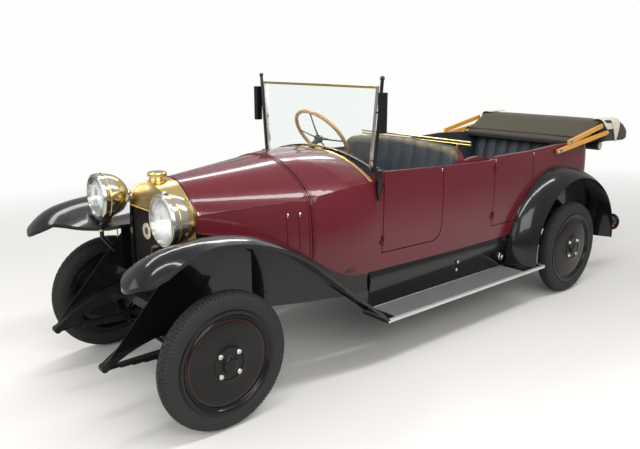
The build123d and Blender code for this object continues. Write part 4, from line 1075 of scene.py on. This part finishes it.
def bonnet_beads(hand, side):
    """Beads across a bonnet lid and along its hip, and two upright handling rods with their knobs."""
    lid = Piece(f"bonnet_{hand}_beads")
    for s, r in ((772.0, 4.2), (763.0, 1.8), (131.0, 3.4)):
        line = section_line(s, 0.5)
        line = line[(line[:, 0] > 13) & (line[:, 1] > 962 - (s - 124) * 0.32)]
        lid.carried(place(s, side * line[:, 0], line[:, 1]), circle(r), MAROON, up=ALONG)
    stations = np.linspace(137, 765, 60)
    rows = np.array([row_at(s) for s in stations])
    lid.carried(place(stations, side * rows[:, 4], rows[:, 5]), circle(2.4), MAROON)
    for s in BONNET_RODS:
        heights = np.linspace(812, 1016, 40)
        y = np.array([side_y(s, z) for z in heights])
        lid.carried(place(s, side * y, heights), circle(6.0), MAROON, up=ALONG)
        knob(lid, s, side * (y[-1] + 1), 1024, 8.5, (0, side, 0.25), 15)
        knob(lid, s, side * (y[-1] + 1), 1012, 5.5, (0, side, 0), 8)
    lid.done(f"bonnet_{hand}", f"bonnet_{hand}", angle=60)


def body_trim():
    """Beads of scuttle and bonnet, pins at the doors' heads, and a small rimmed oval low on each side."""
    scuttle_beads()
    for hand, side in SIDES:
        bonnet_beads(hand, side)
    front = Piece("seam_buttons")
    for s, z in PIN_STATIONS:
        for _, side in SIDES:
            front.turned(LATCH_PIN, place(s, side * (float(tub_y(s, z)) - 1.5), z), UP, NICKEL, 14, soft=1)
    oval = np.array([36, 17]) * circle(1.0, 64) + PLATE_AT
    for _, side in SIDES:
        y = np.array([side_y(s, z) for s, z in oval])
        rim = place(oval[:, 0], side * (y + 0.6), oval[:, 1])
        front.carried(rim, circle(2.3, 10), MAROON, up=ACROSS, loop=True)
        face = lathe([(-1, 0), (-1, 1), (0.8, 1), (0.9, 0)], (0, 0, 0), ACROSS, 40) * np.array([33, 1, 14.5])
        front.grid(face + place(PLATE_AT[0], side * (side_y(*PLATE_AT) + 0.4), PLATE_AT[1]), BLACK)
    front.done("chassis", "body", angle=50)


# Aprons, wheel arches and tail lamp

APRON_Y = 364
APRON_BOLTS = (520, 640, 760, 900, 1040, 1160, 1300, 1500, 1700, 1900, 2100, 2300, 2500, 2700)
APRON_SEAM = np.array([(584, 583), (590, 583), (607, 525), (589, 425), (584, 425)], float)      # y, z
LATCH_S = 2095
FILLER_LID = [(-3, 0), (-3, 26), (4, 27), (9, 31), (14, 30), (15, 25), (11, 20), (9, 12), (12, 5), (13, 0)]
LID_AT = (2640, 412)        # s, z
GAITER_AT = (511, 388, 554)
GAITER = [(-34, 0), (-34, 15), (-24, 19), (-14, 15), (-4, 19), (6, 15), (14, 17), (18, 12), (19, 0)]
GAITER_CLAMP = [(17, 0), (17, 9), (26, 9), (28, 6), (28.5, 0)]
REAR_ARCH = (3338.0, 436.0, 624.0)      # station, height and radius just inside the rear wing
# Foot of the black painted-shade plate in each rear arch.
SHADE_PLATE_LOW = 545.0
TAIL_DRUM = [(0, 0), (0, 43), (8, 48), (60, 49), (78, 49), (78, 0)]
TAIL_RIM = [(0, 40), (0, 56), (5, 61), (18, 61), (23, 58), (23, 50), (16, 47), (16, 40)]
TAIL_LENS = [(14, 0), (14, 47), (19, 46), (25, 32), (27, 0)]


def apron_y(z):
    """Outer face of the apron below its crease, a straight line down to the running board."""
    return float(np.interp(z, (320.0, 525.0), (574.0, 605.0)))


def apron_trim():
    """Bolt heads, cover plates, latch knobs and filler lids along the aprons, and steering gaiters."""
    trim = Piece("apron_bolts")
    for s in APRON_BOLTS:
        for _, side in SIDES:
            knob(trim, s, side * APRON_Y, 547 if s < 1160 else 552, 6.5, (0, side, 0), 6, STEEL)
    for _, side in SIDES:
        seam = np.stack([place(s, side * APRON_SEAM[:, 0], APRON_SEAM[:, 1]) for s in (1197.0, 1201.0)])
        trim.grid(capped(seam), BLACK)
        for z in (478, 414):
            knob(trim, LATCH_S, side * apron_y(z), z, 14, (0, side, 0), 16)
        lid = place(LID_AT[0], side * apron_y(LID_AT[1]), LID_AT[1])
        trim.turned(FILLER_LID, lid, (0, side, 0), NICKEL, 40)
    trim.done("chassis", "side_aprons", angle=40)
    gaiter = Piece("steering_gaiters")
    for _, side in SIDES:
        at = place(*GAITER_AT) * np.array([1, side, 1])
        gaiter.turned(GAITER, at, (0, side, 0), TAN_HIDE, 28)
        gaiter.turned(GAITER_CLAMP, at, (0, side, 0), BLACK, 20, soft=1)
    gaiter.done("chassis", "side_aprons", angle=60)


def arch_shade_plates():
    """Black plate in each rear wheel arch, 2.5 mm off the tub's side and up to the wing's inner face: painted
    shade, which hides the maroon side where the arch is in shadow.
    """
    mid, height, radius = REAR_ARCH
    half = np.sqrt(radius ** 2 - (SHADE_PLATE_LOW - height) ** 2) - 0.5
    s = np.linspace(mid - half, mid + half, 90)[:, None]
    top = height + np.sqrt(radius ** 2 - (s - mid) ** 2)
    z = SHADE_PLATE_LOW + np.linspace(0, 1, 16) * (top - SHADE_PLATE_LOW)
    s = np.broadcast_to(s, z.shape)
    y = tub_y(s.ravel(), z.ravel()).reshape(z.shape)
    shade_plate = Piece("rear_arch_shade_plates")
    for _, side in SIDES:
        inner, outer = (place(s, side * (y + off), z) for off in (2.5, 5.0))
        # Black painted shade over the tub's side inside the arch.
        shade_plate.grid(capped(np.concatenate([inner, outer[:, ::-1]], axis=1)), BLACK)
    shade_plate.done("chassis", "rear_fenders", angle=40)


def tail_lamp_drum():
    """Drum of the tail lamp behind the left wing, with its tall oval rim and ruby lens."""
    head = Piece("tail_lamp_drum")
    back = (-1, 0, 0)
    head.turned(TAIL_DRUM, place(4168, 700, 472), back, BLACK, 56)
    centre, tall = place(4232, 700, 462), np.array([1.0, 1.0, 1.24])
    for profile, finish, count, ring in ((TAIL_RIM, BLACK, 72, True), (TAIL_LENS, RUBY_GLASS, 56, False)):
        head.grid(centre + tall * lathe(softened(profile), (0, 0, 0), back, count), finish, ring=ring)
    head.done("chassis", "tail_lamp", angle=50)


# Capping and running boards

TOP_EDGE = np.array([(1225, 1226), (1850, 1206), (2421, 1194), (2470, 1216), (2960, 1219), (3300, 1235),
                     (3990, 1213)], float)      # s, z
CAPPING = [("body", 1262, 1300), ("front", 1309, 1855), ("body", 1865, 2442), ("rear", 2452, 2943),
           ("body", 2953, 3660)]        # what carries it, first station, last station
BOARD_ENDS = (1174, 2958)
BOARD_TRIM_Z = 322.6


def top_capping():
    """Rounded capping on the upper edge of the body and of each door."""
    for hand, side in SIDES:
        for k, (what, first, last) in enumerate(CAPPING):
            s = np.linspace(first, last, max(8, int((last - first) / 12)))
            z = np.interp(s, TOP_EDGE[:, 0], TOP_EDGE[:, 1])
            y = np.array([float(tub_y(a, b)) for a, b in zip(s, z)]) - 15.5
            piece = Piece(f"capping_{hand}_{k}")
            piece.carried(place(s, side * y, z + 1.5), oblong(31, 12, 5.6, 6), MAROON)
            door = f"door_{what}_{hand}"
            piece.done("chassis" if what == "body" else door, "body" if what == "body" else door, angle=60)


def board_trim():
    """Ribbed linoleum with its aluminium edging, two strips along the outer edge."""
    along, inward = np.linspace(*BOARD_ENDS, 80), np.linspace(569, 801, 20)
    for hand, side in SIDES:
        mat = Piece(f"running_board_{hand}_mat")
        mat.box((1262, side * 577, 321.5), (2678, side * 789, 324.2), LINOLEUM)
        mat.done("chassis", "running_boards", bevel=0.8, angle=30)
        strip = Piece(f"running_board_{hand}_edging")
        for y, width in ((798.0, 9.0), (787.0, 6.0), (572.0, 8.0)):
            strip.carried(place(along, side * y, BOARD_TRIM_Z), oblong(width, 5.0, 2.2, 5), ALLOY)
        for s in (1176.0, 1188.0, 1258.0, 2683.0, 2945.0, 2957.0):
            strip.carried(place(s, side * inward, BOARD_TRIM_Z), oblong(7.0, 4.6, 2.0, 5), ALLOY)
        lip = np.linspace(BOARD_ENDS[0] - 2, BOARD_ENDS[1] + 3, 80)
        strip.carried(place(lip, side * 799.5, 311.0), oblong(3.0, 17.0, 1.2, 3), ALLOY)
        strip.done("chassis", "running_boards", angle=50)


# Steering wheel

STEER_CENTRE = (1590, -338, 1359)
STEER_TILT = math.radians(38.0)
STEER_R = 239.0
GRIP_R = 14.0
STEER_AXIS = np.array([-math.cos(STEER_TILT), 0.0, math.sin(STEER_TILT)])
HUB_PLATE = [(-24, 0), (-24, 30), (-18, 34), (4, 34), (9, 29), (10, 0)]
HUB_NUT = [(8, 0), (8, 26), (12, 27), (15, 24), (17, 15), (26, 13), (29, 9), (30, 0)]
LEVER_KNOB = [(-7, 0), (-7, 5), (0, 7), (7, 5), (7, 0)]


def in_wheel(angle):
    """Unit vectors in the steering wheel's plane at angles from the car's left."""
    up = np.cross(STEER_AXIS, ACROSS)
    return np.cos(angle)[..., None] * np.array(ACROSS) + np.sin(angle)[..., None] * up


def steering_rim():
    """Wood rim: a torus whose inner side is waved 48 times for the fingers, 7% of its radius deep."""
    turn = np.linspace(0, TAU, 220, endpoint=False)
    hoop = np.linspace(0, TAU, 26, endpoint=False)
    waves = np.clip(-np.cos(hoop), 0, 1)[None, :] * (0.5 + 0.5 * np.cos(48 * turn))[:, None]
    r = GRIP_R * (1.0 - 0.07 * waves)
    rim = Piece("steering_wheel_rim")
    rim.grid(place(*STEER_CENTRE) + (STEER_R + r * np.sin(hoop))[..., None] * in_wheel(turn)[:, None]
             + (r * np.cos(hoop))[..., None] * STEER_AXIS, RIM_WOOD, ring=True)
    rim.done("steering_wheel", "steering_wheel", replaces="steering_wheel", angle=0)


def steering_spider():
    """Four oval spokes that taper and dip to the hub, the hub, its nut and two small levers."""
    centre = place(*STEER_CENTRE)
    hub = centre - 30 * STEER_AXIS
    t = np.linspace(0, 1, 30)[:, None]
    wide = np.interp(t[:, 0], [0, 0.2, 0.85, 1], [11.0, 7.5, 6.0, 9.5])[:, None, None]
    hoop = circle(1.0, 14)
    spider = Piece("steering_wheel_spider")
    for way in in_wheel(np.radians([8, 98, 188, 278])):
        start, end = hub + 18 * way, centre + 228 * way
        path = start + (end - start) * t + STEER_AXIS * (-10 * t * (1 - t))
        side = unit(np.cross(end - start, STEER_AXIS))
        lift = np.cross(side, unit(end - start))
        rings = path[:, None] + wide * (hoop[None, :, :1] * side + 0.62 * hoop[None, :, 1:] * lift)
        spider.grid(capped(rings, path[[0, -1]]), BLACK)
    spider.turned(HUB_PLATE, hub, STEER_AXIS, BLACK, 48)
    spider.turned(HUB_NUT, hub, STEER_AXIS, NICKEL, 40)
    for angle, reach in ((20.0, 62.0), (160.0, 56.0)):
        path = hub + 21 * STEER_AXIS + in_wheel(np.radians(angle)) * np.linspace(4, reach, 14)[:, None]
        spider.carried(path, oblong(7, 3, 1.2, 3), NICKEL, up=STEER_AXIS)
        spider.turned(LEVER_KNOB, path[-1] + 2 * STEER_AXIS, STEER_AXIS, BLACK, 18)
    spider.done("steering_wheel", "steering_wheel", angle=40)


# Seats

PLEAT = 122.0
PLEAT_DEPTH = 12.0
PLEAT_COLUMNS = 16
RING_POINTS = 110
END_LENGTH = 38.0       # a pad draws in over this length at each end
CLOTH_FRAMES = 20
PRESSURE = 30.0
BACK_HALF = 586.0
LEAN_FRONT = 80 / 385.0
LEAN_REAR = 0.8 * 80 / 235.0


def arch(y, half=BACK_HALF, top=1350.0):
    """Height of the front seat's top line: a long arc with a tight one at each end."""
    crown = arc_through((-half + 150, top - 25), (0, top), (half - 150, top - 25), 80)
    end = arc_through((half - 150, top - 25), (half - 40, top - 60), (half, top - 135), 40)
    line = np.vstack([crown[40:], end[1:]])
    return np.interp(np.abs(y), line[:, 0], line[:, 1])


def back_outline(foot_s, foot_z, lean, thick, top):
    """Outline of a leaning back: its foot, how far it leans per millimetre, its thickness and top."""
    def at(y):
        """Corners of the outline at a column y."""
        z = top(y)
        head = foot_s + lean * (z - 40 - foot_z)
        return [(foot_s, foot_z), (head, z - 40), (head + 16, z - 6), (head + thick - 22, z - 2),
                (head + thick, z - 40), (foot_s + thick, foot_z)]
    return at


def cushion_outline(*corners):
    """The same outline of (s, z) corners at every column."""
    return lambda y: corners


class Pad:
    """A stuffed pad: outlines in (s, z) at columns across y, blown up as cloth.

    The seam columns are held as if sewn through, and so is what rests on a board."""

    def __init__(self, name, half, outline, face, rests, cap, top=None):
        """rests tells which (s, z) points lie on the board, and cap is the most that cloth moves a point.

        With a top line, the mesh carries below_top, each point's depth under it."""
        self.cap = cap / 1000.0
        pleats = max(1, round(2 * half / PLEAT))
        y = np.linspace(-half, half, pleats * PLEAT_COLUMNS + 1)
        rings, normals = self.outlines(y, half, outline)
        phase = np.arange(len(y)) % PLEAT_COLUMNS / PLEAT_COLUMNS
        bulge = np.sqrt(np.clip(1 - (2 * phase - 1) ** 2, 0, 1))
        front = np.clip(normals @ np.asarray(face, float), 0, 1) ** 0.5
        rings = rings - PLEAT_DEPTH * (front * (1 - bulge[:, None]))[..., None] * normals
        self.write(name, place(rings[..., 0], y[:, None], rings[..., 1]))
        if top:
            depth = top(y)[:, None] - rings[..., 1]
            depth = np.concatenate([depth.ravel(), depth[[0, -1]].mean(axis=1)]) / 1000.0
            self.object.data.attributes.new("below_top", "FLOAT", "POINT").data.foreach_set("value", depth)
        held = ((phase < 1e-6)[:, None] & (front > 0.35)) | rests(rings)
        self.held = np.concatenate([np.flatnonzero(held), held.size + np.arange(2)])

    @staticmethod
    def outlines(y, half, outline):
        """Evenly spaced rings and their normals, each ring drawn in towards its middle at the ends."""
        rings, normals = [], []
        for column in y:
            ring = even(rounded(outline(column)), RING_POINTS)
            middle = ring.mean(axis=0)
            end = np.clip((abs(column) - (half - END_LENGTH)) / END_LENGTH, 0, 1)
            ring = middle + (ring - middle) * np.maximum(0.2, np.sqrt(1 - end ** 2)) ** 0.5
            way = np.roll(ring, -1, axis=0) - np.roll(ring, 1, axis=0)
            normal = unit(np.stack([way[:, 1], -way[:, 0]], axis=1))
            rings.append(ring)
            normals.append(-normal if np.sum(normal * (ring - middle)) < 0 else normal)
        return np.array(rings), np.array(normals)

    def write(self, name, grid):
        """Mesh of the rings, closed by a fan of triangles at each end."""
        columns, count = grid.shape[:2]
        self.start = np.vstack([grid.reshape(-1, 3), grid[[0, -1]].mean(axis=1)]) / 1000.0
        c, r = (v.ravel() for v in np.meshgrid(np.arange(columns - 1), np.arange(count), indexing="ij"))
        r1 = (r + 1) % count
        quads = np.stack([c * count + r, (c + 1) * count + r, (c + 1) * count + r1, c * count + r1], axis=1)
        k = np.arange(count)
        k1 = (k + 1) % count
        last = (columns - 1) * count
        pole = columns * count
        fans = np.concatenate([np.stack([np.full(count, pole), k, k1], axis=1),
                               np.stack([np.full(count, pole + 1), last + k1, last + k], axis=1)])
        mesh = bpy.data.meshes.new(name)
        mesh.from_pydata(self.start, [], quads.tolist() + fans.tolist())
        mended(mesh, merge=0.0)
        self.object = added(name, mesh)

    def inflate(self):
        """Makes the pad cloth under pressure, with its held points pinned."""
        group = self.object.vertex_groups.new(name="sewn")
        group.add([int(i) for i in self.held], 1.0, "REPLACE")
        cloth = self.object.modifiers.new("swell", "CLOTH")
        settings = cloth.settings
        settings.quality = 4
        settings.use_pressure = True
        settings.uniform_pressure_force = PRESSURE
        settings.effector_weights.gravity = 0.0
        settings.tension_stiffness = 12.0
        settings.bending_stiffness = 0.3
        settings.vertex_group_mass = "sewn"
        cloth.collision_settings.use_collision = False
        cloth.point_cache.frame_start, cloth.point_cache.frame_end = 1, CLOTH_FRAMES

    def settle(self):
        """Takes the blown shape, no point moved by more than the cap."""
        blown = self.object.evaluated_get(bpy.context.evaluated_depsgraph_get())
        moved = np.empty(len(self.start) * 3)
        blown.to_mesh().vertices.foreach_get("co", moved)
        blown.to_mesh_clear()
        shift = moved.reshape(-1, 3) - self.start
        size = np.linalg.norm(shift, axis=1, keepdims=True)
        self.start = self.start + shift * np.minimum(1.0, self.cap / np.maximum(size, 1e-9))
        self.object.modifiers.remove(self.object.modifiers["swell"])
        self.object.vertex_groups.clear()

    def done(self, finish, node):
        mesh = self.object.data
        mesh.vertices.foreach_set("co", self.start.ravel())
        mesh.materials.append(finish.material)
        shaded(mesh, 70)
        mounted(self.object, "chassis", node)


def pads():
    """The four pads with their nodes and finishes."""
    front_back = Pad("front_seat_back", 574, back_outline(1930, 800, LEAN_FRONT, 96, lambda y: arch(y) - 6),
                     (-0.92, 0.4), lambda p: p[..., 0] > 2004 + 0.2 * (p[..., 1] - 800), 22, top=arch)
    front_cushion = Pad("front_seat_cushion", 552,
                        cushion_outline((1508, 768), (1500, 850), (1512, 884), (1560, 893), (1900, 880),
                                        (1944, 868), (1948, 768)),
                        (0.0, 1.0), lambda p: p[..., 1] < 790, 24)
    rear_back = Pad("rear_seat_back", 552, back_outline(3684, 800, LEAN_REAR, 80, lambda y: 1216.0),
                    (-0.98, 0.2), lambda p: p[..., 0] > 3745 + 0.27 * (p[..., 1] - 800), 22)
    rear_cushion = Pad("rear_seat_cushion", 552,
                       cushion_outline((3248, 768), (3240, 870), (3252, 910), (3300, 920), (3640, 905),
                                       (3690, 895), (3694, 768)),
                       (0.0, 1.0), lambda p: p[..., 1] < 790, 24)
    return [(front_back, "front_seat", BACK_HIDE_PAINTED_HIGHLIGHT), (front_cushion, "front_seat", HIDE),
            (rear_back, "rear_seat", HIDE), (rear_cushion, "rear_seat", HIDE)]


def seats():
    """Pads blown up by cloth simulation, the boxes that they rest on, and the front back's piping."""
    stuffed = pads()
    for pad, _, _ in stuffed:
        pad.inflate()
    for step in range(1, CLOTH_FRAMES + 1):
        bpy.context.scene.frame_set(step)
    for pad, _, _ in stuffed:
        pad.settle()
    bpy.context.scene.frame_set(1)
    for pad, node, finish in stuffed:
        pad.done(finish, node)
    for node, first, last in (("front_seat", 1542, 1938), ("rear_seat", 3282, 3678)):
        base = Piece(f"{node}_box")
        base.box((first, -558, 631), (last, 558, 766), LINING)
        base.done("chassis", node, bevel=3)
    y = np.linspace(-560, 560, 140)
    z = arch(y) - 16.0
    path = smooth_curve(place(2024 + LEAN_FRONT * (z - 800), y, z)[::4], 200)
    piping = Piece("front_seat_piping")
    # The piping is olive painted highlight, the light along the back's top.
    piping.carried(path, circle(5.0, 10), OLIVE_HIGHLIGHT_HIDE, up=ALONG)
    piping.done("chassis", "front_seat", angle=60)


# Folded top

HOOD_HALF = 606
HOOD_WALL = 3.0
HOOD_OUTLINE = [
    # s, z of the bundle, from its front foot over the top
    (3706, 1206), (3700, 1240), (3850, 1322), (3985, 1398), (4070, 1403), (4180, 1400), (4290, 1386),
    (4380, 1343), (4452, 1292), (4470, 1236), (4452, 1201), (4330, 1196), (4200, 1204), (3950, 1207),
    (3790, 1207),
]
HOOD_END = [(586, 0.0), (588, 0.9), (598, 0.985), (618, 0.985), (636, 0.96), (646, 0.9), (650, 0.78),
            (651, 0.0)]     # y, share of the outline
STRAPS = [
    # (y, z, front edge's station, rear edge's station) down from the top of the bundle
    [(540, 1405, 3990, 4120), (590, 1409, 3990, 4122), (622, 1402, 3994, 4126), (642, 1380, 4002, 4134),
     (652, 1345, 4022, 4142), (655, 1318, 4060, 4146)],
    [(540, 1404, 4128, 4262), (592, 1408, 4128, 4266), (630, 1400, 4128, 4270), (652, 1376, 4132, 4270),
     (659, 1330, 4148, 4262), (660, 1270, 4176, 4246), (658, 1222, 4202, 4232), (656, 1196, 4212, 4226)],
]
STRAP_SECTION = ((0.0, 0.0), (0.0, 0.5), (0.0, 1.0), (3.4, 1.0), (4.4, 0.5), (3.4, 0.0))     # off, share
ROLL_AT = (4140, 1160)      # s, z
CURTAIN_ROLL = [(-560, 0), (-560, 38), (-552, 43), (552, 43), (560, 38), (560, 0)]
ROLL_END = [(-2, 0), (-2, 34), (3, 33), (4, 30), (4.5, 0)]
BOW_PINS = ((3268, 1190), (3423, 1250), (4060, 1290), (3950, 1352))        # s, z
BOW_PLATES = ((3262, 1188, 3330, 1198), (3416, 1248, 3480, 1260))       # s, z of both ends
BOW_FACE = 656


def hood_turns():
    """Outer outline, and the path of a sheet wound inward three turns 15 mm apart.

    Each turn is the outline drawn in towards its middle line."""
    outer = smooth_curve(softened(HOOD_OUTLINE), 230)
    middle = np.stack([np.clip(outer[:, 0], 3880, 4370),
                       np.interp(outer[:, 0], (3700, 3950, 4470), (1224, 1290, 1270))], axis=1)
    inward = unit(middle - outer)
    inner = np.vstack([outer[10 * k::3] + 15.0 * k * inward[10 * k::3] for k in (1, 2)])
    return outer, np.vstack([outer, smooth_curve(inner[::2], 100)])


def hood_sheet(path):
    """The hood lies folded: one sheet along the path, with ripples and sag off its surface.

    Behind, ripples of 7 mm |sin(z / 17)| stand for the slack of the lower layers, and towards the
    ends the layers draw together."""
    way = unit(np.gradient(path, axis=0))
    normal = np.stack([way[:, 1], -way[:, 0]], axis=1)
    y = np.linspace(-HOOD_HALF, HOOD_HALF, 120)
    end = np.clip((np.abs(y) - 540) / 66.0, 0, 1)[:, None] ** 2
    near = np.clip((np.abs(y) - 300) / 330.0, 0, 1)[:, None]
    rear = (np.clip((path[:, 0] - 4200) / 150.0, 0, 1) * np.clip((1390 - path[:, 1]) / 40.0, 0, 1))[None, :]
    ripple = 7.0 * rear * np.abs(np.sin(path[:, 1] / 17.0 + 0.8))[None, :]
    sag = 2.4 * (np.sin(y / 83.0)[:, None] * np.sin(path[:, 0] / 61.0)[None, :] + 1.0) * (0.4 + near)
    shape = path[None] + (ripple + sag)[..., None] * normal[None]
    shape = shape + 0.055 * end[..., None] * (np.array([4120.0, 1290.0]) - shape)
    shape[..., 1] = np.maximum(shape[..., 1], 1203)
    bag = Piece("folded_hood")
    bag.grid(place(shape[..., 0], y[:, None], shape[..., 1]), CANVAS, around=False)
    obj = bag.done("chassis", "folded_top", replaces="folded_top", angle=70, wall=HOOD_WALL)


def hood_valance():
    """Padded edge across the body's rear, 4 mm lower in its middle, and a straight rail above it."""
    trim = Piece("hood_valance")
    y = np.linspace(-628, 628, 90)
    trim.carried(place(3716, y, 1213 - 4 * np.cos(y / 628 * math.pi / 2)), oblong(34, 40, 12, 6), LINING)
    trim.carried(place(3748, y, 1262), oblong(20, 14, 5, 5), LINING, up=(0.55, 0, 1))
    trim.done("chassis", "folded_top", angle=60)


def hood_end(rolls, outer, side):
    """Black end of the bundle: its rear outline scaled about a middle, creased by 11 shallow waves."""
    rear = smooth_curve(np.stack([np.maximum(outer[:, 0], 4010), outer[:, 1]], axis=1)[::3], 160)
    middle = np.array([4245.0, 1298.0])
    turn = np.linspace(0, TAU, 160, endpoint=False)
    rows = []
    for y, share in HOOD_END:
        crease = 1 + 0.012 * np.sin(11 * turn + y) * (share < 0.98)
        ring = middle + (rear - middle) * (share * crease)[:, None]
        rows.append(place(ring[:, 0], side * y, ring[:, 1]))
    rolls.grid(np.stack(rows), LINING)


def hood_strap(straps, line, side):
    """Strap over the bundle's end: a thin crowned section between its two edges."""
    y, z, front, back = smooth_curve(line, 40).T
    way = unit(np.stack([np.gradient(y), np.gradient(z)], axis=1))
    strip = [place(front + (back - front) * share, side * (y - way[:, 1] * off), z + way[:, 0] * off)
             for off, share in STRAP_SECTION]
    straps.grid(capped(np.stack(strip, axis=1)), WEBBING)


def curtain_roll():
    """Roll of lining in the bundle's open lower side, with a pale disc at each end."""
    s, z = ROLL_AT
    roll = Piece("hood_curtain_roll")
    roll.turned(CURTAIN_ROLL, place(s, 0, z), ACROSS, LINING, 48)
    for _, side in SIDES:
        roll.turned(ROLL_END, place(s, side * 558, z), (0, side, 0), WEBBING, 40, soft=1)
    roll.done("chassis", "folded_top", angle=50)


def bow_fittings():
    """Pins and plates on the outer face of the left bows."""
    fittings = Piece("bow_fittings")
    for s, z in BOW_PINS:
        for r, tall, finish in ((11.0, 8, BRASS), (7.0, 12, NICKEL)):
            pin = [(0, 0), (0, r), (tall, r), (tall, 0)]
            fittings.turned(pin, place(s, BOW_FACE, z), ACROSS, finish, 24, soft=1)
    for s0, z0, s1, z1 in BOW_PLATES:
        path = place(np.linspace(s0, s1, 10), BOW_FACE + 3.5, np.linspace(z0, z1, 10))
        fittings.carried(path, oblong(4, 30, 1.5, 3), NICKEL)
    fittings.done("chassis", "top_bows", angle=40)


def folded_top():
    """Sheet, valance, black ends, cream straps, lining roll and the bows' fittings."""
    outer, path = hood_turns()
    hood_sheet(path)
    hood_valance()
    rolls, straps = Piece("hood_end_rolls"), Piece("hood_straps")
    for _, side in SIDES:
        hood_end(rolls, outer, side)
        for line in STRAPS:
            hood_strap(straps, line, side)
    rolls.done("chassis", "folded_top", angle=50)
    straps.done("chassis", "folded_top", angle=60)
    curtain_roll()
    bow_fittings()


# The car

stage()
wheels()
kept_pieces()
lamps()
radiator()
body_trim()
apron_trim()
arch_shade_plates()
tail_lamp_drum()
top_capping()
board_trim()
steering_rim()
steering_spider()
seats()
folded_top()
